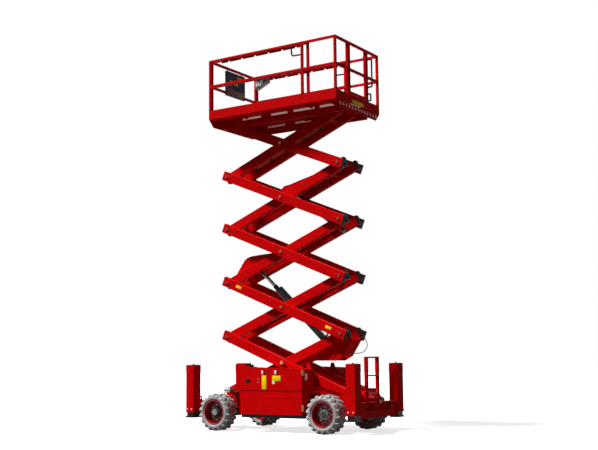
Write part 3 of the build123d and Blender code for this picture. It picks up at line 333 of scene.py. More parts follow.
def softenEdges(mesh, verts, width, segments=2):
    edges = list({edge for vert in verts for edge in vert.link_edges})
    bmesh.ops.bevel(mesh, geom=edges, offset=width, offset_type="OFFSET", affect="EDGES",
                    segments=segments, profile=0.5, material=-1, clamp_overlap=True)


def addBox(mesh, low, high, soft=0.0):
    before = set(mesh.verts)
    made = bmesh.ops.create_cube(mesh, size=1.0)["verts"]
    bmesh.ops.scale(mesh, vec=[b - a for a, b in zip(low, high)], verts=made)
    bmesh.ops.translate(mesh, vec=[(a + b) / 2 for a, b in zip(low, high)], verts=made)
    if soft:
        softenEdges(mesh, made, soft)
    return newVerts(mesh, before)


def sortedBox(mesh, side, x0, x1, y0, y1, z0, z1, soft=0.0):
    # a box given for the +Y side, or mirrored where side is -1
    ys = sorted((side * y0, side * y1))
    return addBox(mesh, (x0, ys[0], z0), (x1, ys[1], z1), soft)


def addRod(mesh, start, end, radius, segments=20, soft=0.0):
    before = set(mesh.verts)
    start = Vector(start)
    run = Vector(end) - start
    turn = run.to_track_quat("Z", "Y").to_matrix().to_4x4()
    place = Matrix.Translation(start + run / 2) @ turn
    bmesh.ops.create_cone(mesh, cap_ends=True, segments=segments, radius1=radius,
                          radius2=radius, depth=run.length, matrix=place)
    if soft:
        made = newVerts(mesh, before)
        rims = [edge for edge in {edge for vert in made for edge in vert.link_edges}
                if any(len(face.verts) > 4 for face in edge.link_faces)]
        bmesh.ops.bevel(mesh, geom=rims, offset=soft, offset_type="OFFSET", affect="EDGES",
                        segments=2, profile=0.5, material=-1, clamp_overlap=True)
    return newVerts(mesh, before)


def addBolt(mesh, place, normal, size, height=0.6):
    # a washer and a hexagon head
    place = Vector(place)
    normal = Vector(normal)
    washer = size * 0.14
    addRod(mesh, place, place + normal * washer, size * 0.72, 18)
    addRod(mesh, place + normal * washer, place + normal * (washer + size * height),
           size * 0.56, 6, soft=size * 0.05)


def addLathe(mesh, profile, place, axis, steps=32):
    # profile: (radius, height) points along the axis
    before = set(mesh.verts)
    verts = [mesh.verts.new((radius, 0, height)) for radius, height in profile]
    edges = [mesh.edges.new(pair) for pair in zip(verts, verts[1:])]
    bmesh.ops.spin(mesh, geom=verts + edges, cent=(0, 0, 0), axis=(0, 0, 1),
                   angle=math.tau, steps=steps, use_merge=True, use_duplicate=False)
    made = newVerts(mesh, before)
    bmesh.ops.remove_doubles(mesh, verts=made, dist=1e-5)
    made = newVerts(mesh, before)
    turn = Vector(axis).to_track_quat("Z", "Y").to_matrix().to_4x4()
    bmesh.ops.transform(mesh, matrix=Matrix.Translation(place) @ turn, verts=made)
    return made


def addLine(name, points, radius, roundness, steps):
    # a smooth round line along control points
    data = bpy.data.curves.new(name, "CURVE")
    data.dimensions = "3D"
    data.bevel_depth = radius
    data.bevel_resolution = roundness
    data.use_fill_caps = True
    line = data.splines.new("NURBS")
    line.points.add(len(points) - 1)
    for spot, point in zip(line.points, points):
        spot.co = (*point, 1)
    line.order_u = 3
    line.use_endpoint_u = True
    data.resolution_u = steps
    line.resolution_u = steps
    piece = bpy.data.objects.new(name, data)
    bpy.context.collection.objects.link(piece)
    return piece


def addPipe(mesh, points, radius):
    holder = addLine("pipeLine", points, radius, 3, 6)
    data = holder.data
    tube = bpy.data.meshes.new_from_object(
        holder.evaluated_get(bpy.context.evaluated_depsgraph_get()))
    mesh.from_mesh(tube)
    bpy.data.objects.remove(holder)
    bpy.data.curves.remove(data)
    bpy.data.meshes.remove(tube)


sharpAngle = math.radians(35)


def finishPiece(mesh, name, material, body, place=None):
    if place is not None:
        bmesh.ops.transform(mesh, matrix=place, verts=mesh.verts)
    bmesh.ops.recalc_face_normals(mesh, faces=mesh.faces)
    data = bpy.data.meshes.new(name)
    mesh.to_mesh(data)
    mesh.free()
    for face in data.polygons:
        face.use_smooth = True
    data.set_sharp_from_angle(angle=sharpAngle)
    data.materials.append(finishes[material])
    piece = bpy.data.objects.new(name, data)
    bpy.context.collection.objects.link(piece)
    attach(piece, body)
    return piece


sides = (("left", -1), ("right", 1))
ends = ("front", "rear")
jointAt = {row["name"]: row for row in frame["joints"]}


# wheels: a dark dish, partly its own dark paint and partly painted shade from deep inside the rim, its ring of
# bolts, a grey hub and the tyre's moulded rings

# profiles are (radius, height along the axle)
wheelDetail = {
    "dishLift": 0.0125,
    "hubLift": 0.012,
    "Dish": ((0.02, 0.0), (0.196, 0.0), (0.196, 0.010), (0.172, 0.016), (0.150, 0.012),
             (0.104, 0.012), (0.094, 0.024), (0.02, 0.024), (0.02, 0.0)),
    "Hub": ((0.03, 0.0), (0.096, 0.0), (0.096, 0.016), (0.084, 0.022), (0.084, 0.056),
            (0.076, 0.068), (0.066, 0.068), (0.062, 0.060), (0.034, 0.060), (0.030, 0.082),
            (0.024, 0.086), (0, 0.086)),
    "HubCap": ((0, 0.078), (0.056, 0.078), (0.056, 0.085), (0.030, 0.091), (0, 0.091)),
    "wheelBolts": {"lift": 0.012, "ring": 0.128, "count": 8, "first": 0.0, "size": 0.024},
    "capBolts": {"lift": 0.072, "ring": 0.04756, "count": 6, "first": 0.5, "size": 0.015},
    "lipAt": 0.1345,
    "lip": ((0.202, -0.006), (0.2105, -0.006), (0.214, 0.0), (0.2105, 0.004), (0.204, 0.004),
            (0.2015, 0.0), (0.202, -0.006)),
    "stem": {"across": 0.168, "lift": 0.022, "long": 0.034, "cap": 0.050, "radius": 0.006,
             "capRadius": 0.0075},
    "ringsAt": 0.1473,
    "ringRadii": (0.246, 0.262),
    "ring": ((-0.004, -0.004), (0.004, -0.004), (0.002, 0.0022), (-0.002, 0.0022),
             (-0.004, -0.004)),
}


def addBoltRing(mesh, base, axis, row):
    for index in range(row["count"]):
        turn = math.tau * (index + row["first"]) / row["count"]
        around = Vector((math.cos(turn), 0, math.sin(turn)))
        addBolt(mesh, base + axis * row["lift"] + around * row["ring"], axis, row["size"])


def makeWheel(end, sideName, side, setup):
    low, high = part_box("%s_%s_rim" % (end, sideName))
    centre = (low + high) / 2
    axis = Vector((0, side, 0))
    across = Vector((0, 1, 0))
    body = "%s_%s_wheel" % (end, sideName)
    who = end + sideName.title()
    base = centre + axis * setup["dishLift"]
    hubFoot = base + axis * setup["hubLift"]
    hubColour, capColour = "darkSteel", "hubMetal"
    if end == "rear":
        hubColour, capColour = capColour, hubColour
    # the dish's dark red is partly painted shade: the disc sits deep in the rim, in shadow
    for part, place, steps, colour, slot in (("Dish", base, 48, "darkRed", "wheel_paint"),
                                             ("Hub", hubFoot, 40, hubColour, None),
                                             ("HubCap", hubFoot, 32, capColour, None)):
        mesh = bmesh.new()
        addLathe(mesh, setup[part], place, axis, steps)
        finishPiece(mesh, who + part, colour, body)
    mesh = bmesh.new()
    addBoltRing(mesh, base, axis, setup["wheelBolts"])
    addBoltRing(mesh, base, axis, setup["capBolts"])
    finishPiece(mesh, who + "WheelBolts", "hubMetal", body)
    # a rolled bead at the rim's lip on both sides
    mesh = bmesh.new()
    for way in (-1, 1):
        addLathe(mesh, setup["lip"], centre + across * way * setup["lipAt"], across * way, 56)
    finishPiece(mesh, who + "RimLip", "wheel_paint", body)
    mesh = bmesh.new()
    valve = setup["stem"]
    stem = centre + Vector((valve["across"], 0, 0.0)) + axis * valve["lift"]
    capFoot = stem + axis * valve["long"]
    addRod(mesh, stem, capFoot, valve["radius"], 12, soft=0.001)
    addRod(mesh, capFoot, stem + axis * valve["cap"], valve["capRadius"], 8, soft=0.0015)
    finishPiece(mesh, who + "Valve", "brass", body)
    # rings moulded on the tyre's walls
    mesh = bmesh.new()
    for way in (-1, 1):
        for radius in setup["ringRadii"]:
            addLathe(mesh, [(radius + out, rise) for out, rise in setup["ring"]],
                     centre + across * way * setup["ringsAt"], across * way, 64)
    finishPiece(mesh, who + "TyreRings", "grey_rubber", body)


for end in ends:
    for sideName, side in sides:
        makeWheel(end, sideName, side, wheelDetail)
print("wheels dressed")


# arms: end plugs, black end covers that are partly painted shade, pin plates, pipes and blank reflectors

armDetail = {
    "length": 2.640,
    "overhang": 0.092,
    "innerFace": 0.160,
    "outerFace": 0.272,
    "width": 0.100,
    "depth": 0.175,
    "wall": 0.0085,
    "plugDepth": 0.022,
    "plugSunk": 0.002,
    "faceInset": (0.014, 0.02),
    "coverReach": 0.040,
    "coverWall": 0.004,
    "coverProud": 0.002,
    "pinEnd": 0.384,
    "centreCap": 0.384,
    # (radius, height)
    "pinFace": ((0.0, 0.0), (0.027, 0.0), (0.027, 0.0022), (0.024, 0.0034),
                (0.012, 0.0034), (0.010, 0.0022), (0.0, 0.0022)),
    "nippleRadius": 0.0055,
    "centreBoltShift": 0.0325,
    "keeperShift": 0.062,
    "keeperX": (-0.034, 0.020),
    "keeperHalf": 0.016,
    "keeperThick": 0.006,
    "pipeSide": 0.131,
    "pipeHeight": 0.060,
    "pipeGap": 0.021,
    "pipeRadius": 0.0075,
    # how a pipe leaves the wall: (along, off the wall, down)
    "pipeBend": ((0.0, 0.016, 0.02), (0.03, 0.004, 0.0), (0.10, 0.0, 0.0)),
    "clampPitch": 0.46,
    "clampInset": 0.06,
    "clampHalf": 0.018,
    "clampOut": 0.012,
    "clampZ": (-0.034, 0.012),
}
# stage: (pipe start, pipe end)
pipeRuns = {1: (0.30, 1.86), 2: (0.30, 2.42), 3: (1.30, 2.40), 4: (1.36, 2.40),
            5: (0.30, 2.02)}
stageCount = 5
liftPin = Vector(jointAt["lift"]["pos_m"])
firstCentre = Vector(jointAt["centre_pivot_1"]["pos_m"])
liftAngle = math.atan2(firstCentre.z - liftPin.z, firstCentre.x - liftPin.x)
stageRise = 2 * (firstCentre.z - liftPin.z)


def armPlace(stage, rising):
    # along the arm is X, out of it is Z
    level = stage - 1 if rising else stage
    origin = Vector((liftPin.x, 0, liftPin.z + level * stageRise))
    turn = -liftAngle if rising else liftAngle
    return Matrix.Translation(origin) @ Matrix.Rotation(turn, 4, "Y")


def makePlugs(stage, rising, setup):
    face = setup["innerFace"] if rising else setup["outerFace"]
    inset = setup["wall"]
    half = setup["depth"] / 2 - inset
    proud = setup["coverProud"]
    wall = setup["coverWall"]
    inY, inZ = setup["faceInset"]
    mesh = bmesh.new()
    spots = []
    if rising or stage < stageCount:
        spots.append((-setup["overhang"], 1))
    if not rising or stage < stageCount:
        spots.append((setup["length"] + setup["overhang"], -1))
    for at, inward in spots:
        for side in (-1, 1):
            if inward < 0:
                # a black cover over the arm's far end: partly an end cap, and partly painted shade standing in for
                # the shadow among the arm ends
                x0, x1 = sorted((at + wall, at - (setup["coverReach"] if rising else wall)))
                sortedBox(mesh, side, x0, x1, face - proud, face + setup["width"] + proud,
                          -setup["depth"] / 2 - proud, setup["depth"] / 2 + proud, 0.010)
                continue
            # a plug inside the arm's near end, with a raised face
            sunk = setup["plugSunk"]
            x0, x1 = sorted((at + inward * sunk, at + inward * (sunk + setup["plugDepth"])))
            sortedBox(mesh, side, x0, x1, face + inset, face + setup["width"] - inset, -half,
                      half, 0.004)
            x0, x1 = sorted((at - inward * 0.0015, at + inward * 0.003))
            sortedBox(mesh, side, x0, x1, face + inset + inY,
                      face + setup["width"] - inset - inY, -half + inZ, half - inZ, 0.003)
    kind = "inner" if rising else "outer"
    finishPiece(mesh, "%sPlugs%d" % (kind, stage), "black_plastic",
                "%s_arms_%d" % (kind, stage), place=armPlace(stage, rising))


def addPinEnd(mesh, x, side, out, setup):
    # the machined end of a pin with its grease nipple
    addLathe(mesh, setup["pinFace"], (x, side * out, 0), (0, side, 0), 28)
    addRod(mesh, (x, side * (out + 0.002), 0), (x, side * (out + 0.007), 0),
           setup["nippleRadius"], 6, soft=0.0008)


def makePins(stage, setup):
    # the centre pin turns with the rising frame
    metal = bmesh.new()
    middle = setup["length"] / 2
    for side in (-1, 1):
        addPinEnd(metal, middle, side, setup["centreCap"], setup)
        for dx in (-setup["centreBoltShift"], setup["centreBoltShift"]):
            addBolt(metal, (middle + dx, side * setup["centreCap"], 0), (0, side, 0), 0.011,
                    0.45)
    finishPiece(metal, "centrePinEnds%d" % stage, "brass", "inner_arms_%d" % stage,
                place=armPlace(stage, True))
    # the end pins turn with the falling frame, and each has a keeper plate
    metal = bmesh.new()
    keepers = bmesh.new()
    pins = []
    if stage < stageCount:
        pins.append((0.0, 1))
    if stage > 1:
        pins.append((setup["length"], -1))
    faceOut = setup["outerFace"] + setup["width"]
    plateOut = faceOut + setup["keeperThick"]
    near, far = setup["keeperX"]
    half = setup["keeperHalf"]
    for x, inward in pins:
        for side in (-1, 1):
            addPinEnd(metal, x, side, setup["pinEnd"], setup)
            plate = x + inward * setup["keeperShift"]
            sortedBox(keepers, side, plate + near, plate + far, faceOut, plateOut, -half, half,
                      0.002)
            addBolt(metal, (plate + inward * 0.004, side * plateOut, 0), (0, side, 0), 0.014,
                    0.5)
    body = "outer_arms_%d" % stage
    finishPiece(metal, "endPinEnds%d" % stage, "pinSteel", body,
                place=armPlace(stage, False))
    finishPiece(keepers, "pinKeepers%d" % stage, "red_paint", body,
                place=armPlace(stage, False))


def makePipes(stage, setup):
    start, stop = pipeRuns[stage]
    y = setup["pipeSide"]
    z = setup["pipeHeight"]
    mesh = bmesh.new()
    for drop in (0.0, setup["pipeGap"]):
        line = z - drop
        bend = [(run, y + out, line - down) for run, out, down in setup["pipeBend"]]
        addPipe(mesh, [(start + run, across, high) for run, across, high in bend]
                + [(stop - run, across, high) for run, across, high in reversed(bend)],
                setup["pipeRadius"])
    finishPiece(mesh, "armPipes%d" % stage, "olivePipe", "inner_arms_%d" % stage,
                place=armPlace(stage, True))
    mesh = bmesh.new()
    count = int((stop - start) / setup["clampPitch"]) + 1
    inset = setup["clampInset"]
    half = setup["clampHalf"]
    out = setup["clampOut"]
    low, high = setup["clampZ"]
    for index in range(count + 1):
        x = start + inset + (stop - start - 2 * inset) * index / count
        addBox(mesh, (x - half, y - out, z + low), (x + half, setup["innerFace"], z + high),
               0.003)
        addBolt(mesh, (x, y - out, z - setup["pipeGap"] / 2), (0, -1, 0), 0.011, 0.5)
    finishPiece(mesh, "armClamps%d" % stage, "black_plastic", "inner_arms_%d" % stage,
                place=armPlace(stage, True))


for stage in range(1, stageCount + 1):
    makePlugs(stage, True, armDetail)
    makePlugs(stage, False, armDetail)
    makePins(stage, armDetail)
    makePipes(stage, armDetail)
print("arms dressed")

# blank reflectors on the second falling frame: places along the arm
reflector = {
    "stage": 2,
    "places": (0.291, 2.38),
    "long": 0.125,
    "high": 0.052,
    "lift": 0.012,
}


def makeReflectors(setup, arm):
    mesh = bmesh.new()
    out = arm["outerFace"] + arm["width"]
    for x in setup["places"]:
        for side in (-1, 1):
            sortedBox(mesh, side, x - setup["long"] / 2, x + setup["long"] / 2, out,
                      out + 0.0016, setup["lift"] - setup["high"] / 2,
                      setup["lift"] + setup["high"] / 2, 0.0006)
    finishPiece(mesh, "armReflectors", "yellow", "outer_arms_%d" % setup["stage"],
                place=armPlace(setup["stage"], False))


makeReflectors(reflector, armDetail)


# lift cylinders: rings on the barrel, port fittings, and the lower one's hoses

# runs are along the barrel from its pin, and heights are above the barrel's skin
cylinderDetail = {
    "lower": {"radius": 0.052, "hoses": ((-0.020, 0.0), (0.016, 0.022))},
    "upper": {"radius": 0.062, "hoses": ()},
    "ringRun": 0.16,
    "ring": ((-0.004, 0.0), (0.004, 0.002), (0.004, 0.020), (-0.004, 0.022), (-0.004, 0.0)),
    "glandBack": 0.167,
    "gland": ((-0.004, 0.0), (0.005, 0.003), (0.005, 0.030), (-0.004, 0.033), (-0.004, 0.0)),
    "portRun": 0.24,
    # (low, high, radius, sides)
    "port": ((-0.004, 0.020, 0.014, 6), (0.018, 0.030, 0.010, 16)),
    # (run, height, share of the lift)
    "hose": ((0.42, -0.002, 0), (0.40, 0.05, 0), (0.43, 0.085, 1), (0.56, 0.090, 1),
             (0.68, 0.055, 1), (0.74, 0.016, 0), (0.82, 0.008, 0)),
    "hoseRadius": 0.010,
}


def makeCylinder(name, setup):
    base = Vector(jointAt[name + "_cylinder_pivot"]["pos_m"])
    along = Vector(jointAt[name + "_piston_slide"]["axis"]).normalized()
    across = Vector((0, 1, 0))
    above = along.cross(across)
    if above.z < 0:
        above = -above
    low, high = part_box(name + "_barrel")
    corners = [Vector((x, 0, z)) for x in (low.x, high.x) for z in (low.z, high.z)]
    reach = max((corner - base).dot(along) for corner in corners)
    body = name + "_cylinder"
    radius = setup[name]["radius"]

    def at(run, rise, side=0.0):
        return base + along * run + above * rise + across * side

    mesh = bmesh.new()
    for profile, run in (("ring", setup["ringRun"]), ("gland", reach - setup["glandBack"])):
        addLathe(mesh, [(radius + out, rise) for out, rise in setup[profile]], at(run, 0),
                 along, 36)
    finishPiece(mesh, name + "BarrelRings", "black_paint", body)
    mesh = bmesh.new()
    for foot, head, size, flats in setup["port"]:
        addRod(mesh, at(setup["portRun"], radius + foot), at(setup["portRun"], radius + head),
               size, flats, soft=0.001)
    finishPiece(mesh, name + "Ports", "zinc", body)
    if setup[name]["hoses"]:
        mesh = bmesh.new()
        for shift, lift in setup[name]["hoses"]:
            addPipe(mesh, [at(run, radius + rise + share * lift, shift)
                           for run, rise, share in setup["hose"]], setup["hoseRadius"])
        finishPiece(mesh, name + "Hose", "hose", body)


for name in ("lower", "upper"):
    makeCylinder(name, cylinderDetail)
print("cylinders dressed")


# outriggers: bolts at the columns' feet, lids, and the soles of the legs

columnDetail = {
    "feetBoltHeight": 0.376,
    "feetBoltSpread": 0.048,
    "boltSize": 0.020,
    "face": 0.866,
    "width": 0.210,
    "top": 1.172,
    "lidHalf": 0.070,
    "lidInset": 0.016,
    "lidHigh": 0.004,
    "knobHigh": 0.018,
    "knobRadius": 0.016,
    "soleInset": 0.004,
    "soleHigh": 0.012,
    "soleBoltInset": 0.022,
    "soleBoltLift": 0.028,
}


def makeColumns(end, setup):
    low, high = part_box("%s_outrigger_beam" % end)
    centreX = (low.x + high.x) / 2
    bolts = bmesh.new()
    lids = bmesh.new()
    for sideName, side in sides:
        middleY = side * (setup["face"] - setup["width"] / 2)
        for dx in (-setup["feetBoltSpread"], setup["feetBoltSpread"]):
            addBolt(bolts, (centreX + dx, side * setup["face"], setup["feetBoltHeight"]),
                    (0, side, 0), setup["boltSize"], 0.35)
        lidTop = setup["top"] + setup["lidHigh"]
        sortedBox(lids, side, centreX - setup["lidHalf"], centreX + setup["lidHalf"],
                  setup["face"] - setup["width"] + setup["lidInset"],
                  setup["face"] - setup["lidInset"], setup["top"], lidTop, 0.0015)
        addRod(lids, (centreX, middleY, lidTop),
               (centreX, middleY, setup["top"] + setup["knobHigh"]), setup["knobRadius"], 6,
               soft=0.002)
    # the feet bolts' pink-white is a painted highlight
    finishPiece(bolts, end + "ColumnBolts", "bright", "chassis")
    finishPiece(lids, end + "ColumnLids", "darkRed", "chassis")
    for sideName, side in sides:
        low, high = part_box("%s_%s_leg" % (end, sideName))
        mesh = bmesh.new()
        inset = setup["soleInset"]
        addBox(mesh, (low.x + inset, low.y + inset, low.z),
               (high.x - inset, high.y - inset, low.z + setup["soleHigh"]), 0.003)
        for dx in (-0.5, 0.5):
            for dy in (-0.5, 0.5):
                spot = ((low.x + high.x) / 2 + dx * (high.x - low.x - setup["soleBoltInset"]),
                        (low.y + high.y) / 2 + dy * (high.y - low.y - setup["soleBoltInset"]),
                        low.z + setup["soleBoltLift"])
                addBolt(mesh, spot, (0, 0, 1), 0.010, 0.4)
        finishPiece(mesh, "%s%sSole" % (end, sideName.title()), "padGreen",
                    "%s_%s_outrigger" % (end, sideName))


for end in ends:
    makeColumns(end, columnDetail)
print("outriggers dressed")


# doors: blank plates, latch, rivets, hinges and folds; a plate is (x0, x1, z0, z1)

doorDetail = {
    "face": 0.870,
    "latch": (-0.425, -0.340, 0.874, 0.910),
    "latchRim": 0.012,
    "latchHigh": 0.011,
    "keyInset": 0.008,
    "keyRadius": 0.012,
    "plates": {
        "doorTallPlates": ("yellow", ((-0.085, 0.007, 0.745, 0.983),)),
        "doorWidePlates": ("yellow", ((0.134, 0.310, 0.888, 0.980),)),
        "doorWhitePlates": ("white", ((0.134, 0.190, 0.838, 0.886),
                                      (-0.095, -0.055, 1.008, 1.070),
                                      (0.180, 0.222, 1.006, 1.070))),
    },
    "blackPlates": ((-0.052, -0.010, 1.008, 1.070), (0.225, 0.266, 1.006, 1.070)),
    "plateHigh": 0.0012,
    "rivets": ((-0.170, 0.926), (-0.145, 0.926), (-0.170, 0.864), (-0.145, 0.864)),
    "rivetSize": 0.013,
    "hinges": (0.430, 1.030),
    "hingeAt": (0.759, 0.856),
    "hinge": ((0.0145, -0.052), (0.0165, -0.050), (0.0165, 0.050), (0.0145, 0.052),
              (0.0145, -0.052)),
    "leaf": (0.734, 0.752, 0.050),
    "swage": (-0.540, 0.725, 0.600, 0.614),
    "folds": ((-0.560, 0.745, 0.310, 0.322), (-0.560, -0.548, 0.310, 0.716),
              (0.733, 0.745, 0.310, 0.716), (-0.560, 0.745, 0.704, 0.716),
              (-0.633, 0.745, 0.730, 0.742), (0.733, 0.745, 0.730, 1.098),
              (-0.633, -0.621, 0.730, 1.200)),
}


def makeDoor(sideName, side, setup):
    body = sideName + "_door_panel"
    who = sideName.title()
    face = setup["face"]

    def plate(spot, low, high, soft):
        x0, x1, z0, z1 = spot
        sortedBox(mesh, side, x0, x1, face + low, face + high, z0, z1, soft)

    for name, (material, spots) in setup["plates"].items():
        mesh = bmesh.new()
        for spot in spots:
            plate(spot, 0, setup["plateHigh"], 0.0005)
        finishPiece(mesh, name + who, material, body)
    mesh = bmesh.new()
    for spot in setup["blackPlates"]:
        plate(spot, 0, setup["plateHigh"], 0.0005)
    x0, x1, z0, z1 = setup["latch"]
    rim = setup["latchRim"]
    keyX = x1 - setup["keyInset"]
    plate((x0 - rim, x1 + rim, z0 - rim, z1 + rim), -0.002, 0.003, 0.002)
    plate((x0, x1 - 0.022, z0, z1), 0.002, setup["latchHigh"], 0.003)
    addRod(mesh, (keyX, side * (face + 0.002), (z0 + z1) / 2),
           (keyX, side * (face + 0.009), (z0 + z1) / 2), setup["keyRadius"], 20, soft=0.002)
    finishPiece(mesh, "doorLatch" + who, "black_plastic", body)
    mesh = bmesh.new()
    for x, z in setup["rivets"]:
        addBolt(mesh, (x, side * face, z), (0, side, 0), setup["rivetSize"], 0.3)
    finishPiece(mesh, "doorRivets" + who, "zinc", body)
    mesh = bmesh.new()
    hingeX, hingeY = setup["hingeAt"]
    x0, x1, half = setup["leaf"]
    for z in setup["hinges"]:
        addLathe(mesh, setup["hinge"], (hingeX, side * hingeY, z), (0, 0, 1), 24)
        plate((x0, x1, z - half, z + half), -0.001, 0.002, 0.001)
    finishPiece(mesh, "doorHinges" + who, "gold", body)
    # a pressed swage along the lower pan and the folded edge round both pans
    mesh = bmesh.new()
    plate(setup["swage"], -0.002, 0.0035, 0.003)
    for spot in setup["folds"]:
        plate(spot, -0.002, 0.002, 0.0015)
    finishPiece(mesh, "doorFolds" + who, "red_paint", body)


for sideName, side in sides:
    makeDoor(sideName, side, doorDetail)
print("doors dressed")


# compartments: caps on their roofs, and louvres, a blank plate and bolts behind

trayDetail = {
    "roof": 1.086,
    "rearEnd": 0.733,
    "boxAt": (-0.540, -0.400, 0.660, 0.780),
    "boxHigh": 0.085,
    # (x, y, radius)
    "knobs": ((-0.505, 0.715, 0.030), (-0.435, 0.735, 0.022)),
    "capAt": (-0.330, 0.740),
    "cap": ((0.0, 0.0), (0.034, 0.0), (0.034, 0.012), (0.044, 0.014), (0.044, 0.040),
            (0.036, 0.048), (0.0, 0.050)),
    "louvres": {"count": 5, "y": (0.47, 0.63), "low": 0.46, "pitch": 0.05, "high": 0.022},
    "plate": (0.672, 0.752, 0.905, 1.015),
    "boltZ": (0.35, 0.70, 1.05),
    "boltY": (0.45, 0.77),
    "boltSize": 0.014,
}


def makeTray(sideName, side, setup):
    roof = setup["roof"]
    rear = setup["rearEnd"]
    who = sideName.title()
    mesh = bmesh.new()
    sortedBox(mesh, side, *setup["boxAt"], roof, roof + setup["boxHigh"], 0.008)
    for x, y, radius in setup["knobs"]:
        addLathe(mesh, ((0.0, 0.0), (radius, 0.0), (radius, 0.018), (radius * 0.86, 0.026),
                        (0.0, 0.028)), (x, side * y, roof + setup["boxHigh"]), (0, 0, 1), 20)
    x, y = setup["capAt"]
    addLathe(mesh, setup["cap"], (x, side * y, roof), (0, 0, 1), 28)
    finishPiece(mesh, "roofCaps" + who, "black_plastic", "chassis")
    mesh = bmesh.new()
    slats = setup["louvres"]
    for row in range(slats["count"]):
        z0 = slats["low"] + row * slats["pitch"]
        sortedBox(mesh, side, rear - 0.001, rear + 0.005, *slats["y"], z0, z0 + slats["high"],
                  0.002)
    finishPiece(mesh, "louvres" + who, "darkRed", "chassis")
    mesh = bmesh.new()
    sortedBox(mesh, side, rear - 0.0005, rear + 0.0015, *setup["plate"], 0.0005)
    finishPiece(mesh, "rearPlate" + who, "white", "chassis")
    mesh = bmesh.new()
    for z in setup["boltZ"]:
        for y in setup["boltY"]:
            addBolt(mesh, (rear, side * y, z), (1, 0, 0), setup["boltSize"], 0.5)
    finishPiece(mesh, "trayBolts" + who, "zinc", "chassis")


# what is behind the doors: a row of ribbed cells with their posts
cellDetail = {
    "count": 4, "ribs": 5, "face": 0.776, "inner": 0.424, "low": 0.318, "high": 0.880,
    "start": -0.500, "stop": 0.685, "gap": 0.004, "ribHalf": 0.007, "ribHigh": 0.012,
    # (shift along the cell, place across it)
    "posts": ((-0.08, 0.70), (0.08, 0.50)), "postRadius": 0.016, "postFrom": 0.015,
    "postTo": 0.045,
}


def makeCells(sideName, side, setup):
    mesh = bmesh.new()
    face = setup["face"]
    low = setup["low"]
    high = setup["high"]
    width = (setup["stop"] - setup["start"]) / setup["count"]
    for index in range(setup["count"]):
        x0 = setup["start"] + index * width + setup["gap"]
        x1 = x0 + width - 2 * setup["gap"]
        sortedBox(mesh, side, x0, x1, setup["inner"], face - setup["ribHigh"], low, high, 0.012)
        for rib in range(setup["ribs"]):
            x = x0 + width * (rib + 0.5) / setup["ribs"]
            sortedBox(mesh, side, x - setup["ribHalf"], x + setup["ribHalf"], face - 0.014,
                      face, low + 0.06, high - 0.10, 0.004)
        sortedBox(mesh, side, x0 + 0.02, x1 - 0.02, setup["inner"] + 0.03, face - 0.04,
                  high - 0.002, high + 0.018, 0.006)
    piece = finishPiece(mesh, "powerCells" + sideName.title(), "black_plastic", "chassis")
    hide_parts(sideName + "_power_block")
    mesh = bmesh.new()
    for index in range(setup["count"]):
        x = setup["start"] + (index + 0.5) * width
        for dx, y in setup["posts"]:
            addRod(mesh, (x + dx, side * y, high + setup["postFrom"]),
                   (x + dx, side * y, high + setup["postTo"]), setup["postRadius"], 18,
                   soft=0.003)
    finishPiece(mesh, "cellPosts" + sideName.title(), "brass", "chassis")


for sideName, side in sides:
    makeTray(sideName, side, trayDetail)
    makeCells(sideName, side, cellDetail)
print("compartments dressed")


# platform: tread plates, post sockets, gate latch and blank plates

deckDetail = {
    "pitch": 0.044,
    "long": 0.030,
    "wide": 0.0085,
    "high": 0.0013,
    "studFoot": 0.72,
    "studTop": 0.45,
    "sheetInset": 0.03,
    "sheetHalf": 0.752,
    "edgeThick": 0.0016,
    "socket": 0.0245,
    "socketHigh": 0.075,
    "socketMiddle": 0.758,
    "socketInset": 0.021,
    "socketY": (0.736, 0.781),
    "socketPinUp": 0.040,
    "plateLow": 5.762,
    "plateHigh": 5.840,
    "ventCount": 13,
    "ventPitch": 0.107,
    "ventLow": 5.657,
    "ventHigh": 5.715,
    "ventWide": 0.024,
    "ventSlant": 28,
    "plateNear": -0.222,
    "plateFar": 0.182,
    "latchDown": 0.20,
    "latchHigh": 0.075,
    # (radius, height)
    "latchKnob": ((0, 0), (0.013, 0), (0.016, 0.006), (0.016, 0.014), (0.011, 0.020),
                  (0, 0.021)),
}


def turnVerts(mesh, verts, degrees, axis):
    bmesh.ops.rotate(mesh, verts=verts, cent=(0, 0, 0),
                     matrix=Matrix.Rotation(math.radians(degrees), 3, axis))


def makeTread(name, body, x0, x1, halfY, z, setup):
    # one pair of crossed studs, repeated over the plate
    mesh = bmesh.new()
    step = setup["pitch"]
    for index, turn in ((0, 45), (1, -45)):
        made = bmesh.ops.create_cone(mesh, cap_ends=True, segments=4,
                                     radius1=setup["studFoot"], radius2=setup["studTop"],
                                     depth=1.0)["verts"]
        turnVerts(mesh, made, 45, "Z")
        bmesh.ops.scale(mesh, vec=(setup["long"], setup["wide"], setup["high"]), verts=made)
        turnVerts(mesh, made, turn, "Z")
        shift = (x0 + step * (0.5 + index), -halfY + step * 0.5, z + setup["high"] / 2)
        bmesh.ops.translate(mesh, vec=shift, verts=made)
    piece = finishPiece(mesh, name, "deck_metal", body)
    for axis, pitch, count in ((0, 2 * step, int((x1 - x0) / (2 * step))),
                               (1, step, int(2 * halfY / step))):
        rows = piece.modifiers.new("rows%d" % axis, "ARRAY")
        rows.count = count
        rows.use_relative_offset = False
        rows.use_constant_offset = True
        rows.constant_offset_displace = (pitch, 0, 0) if axis == 0 else (0, pitch, 0)


deckLow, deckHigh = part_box("platform_deck")
rollLow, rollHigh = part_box("extension_deck")
floorZ = deckHigh.z - 0.132
makeTread("deckTread", "platform", deckLow.x + 0.03, deckHigh.x - 0.03, 0.748,
          floorZ, deckDetail)
makeTread("rollOutTread", "extension", rollLow.x + 0.03, rollHigh.x - 0.01,
          0.736, floorZ + 0.011, deckDetail)


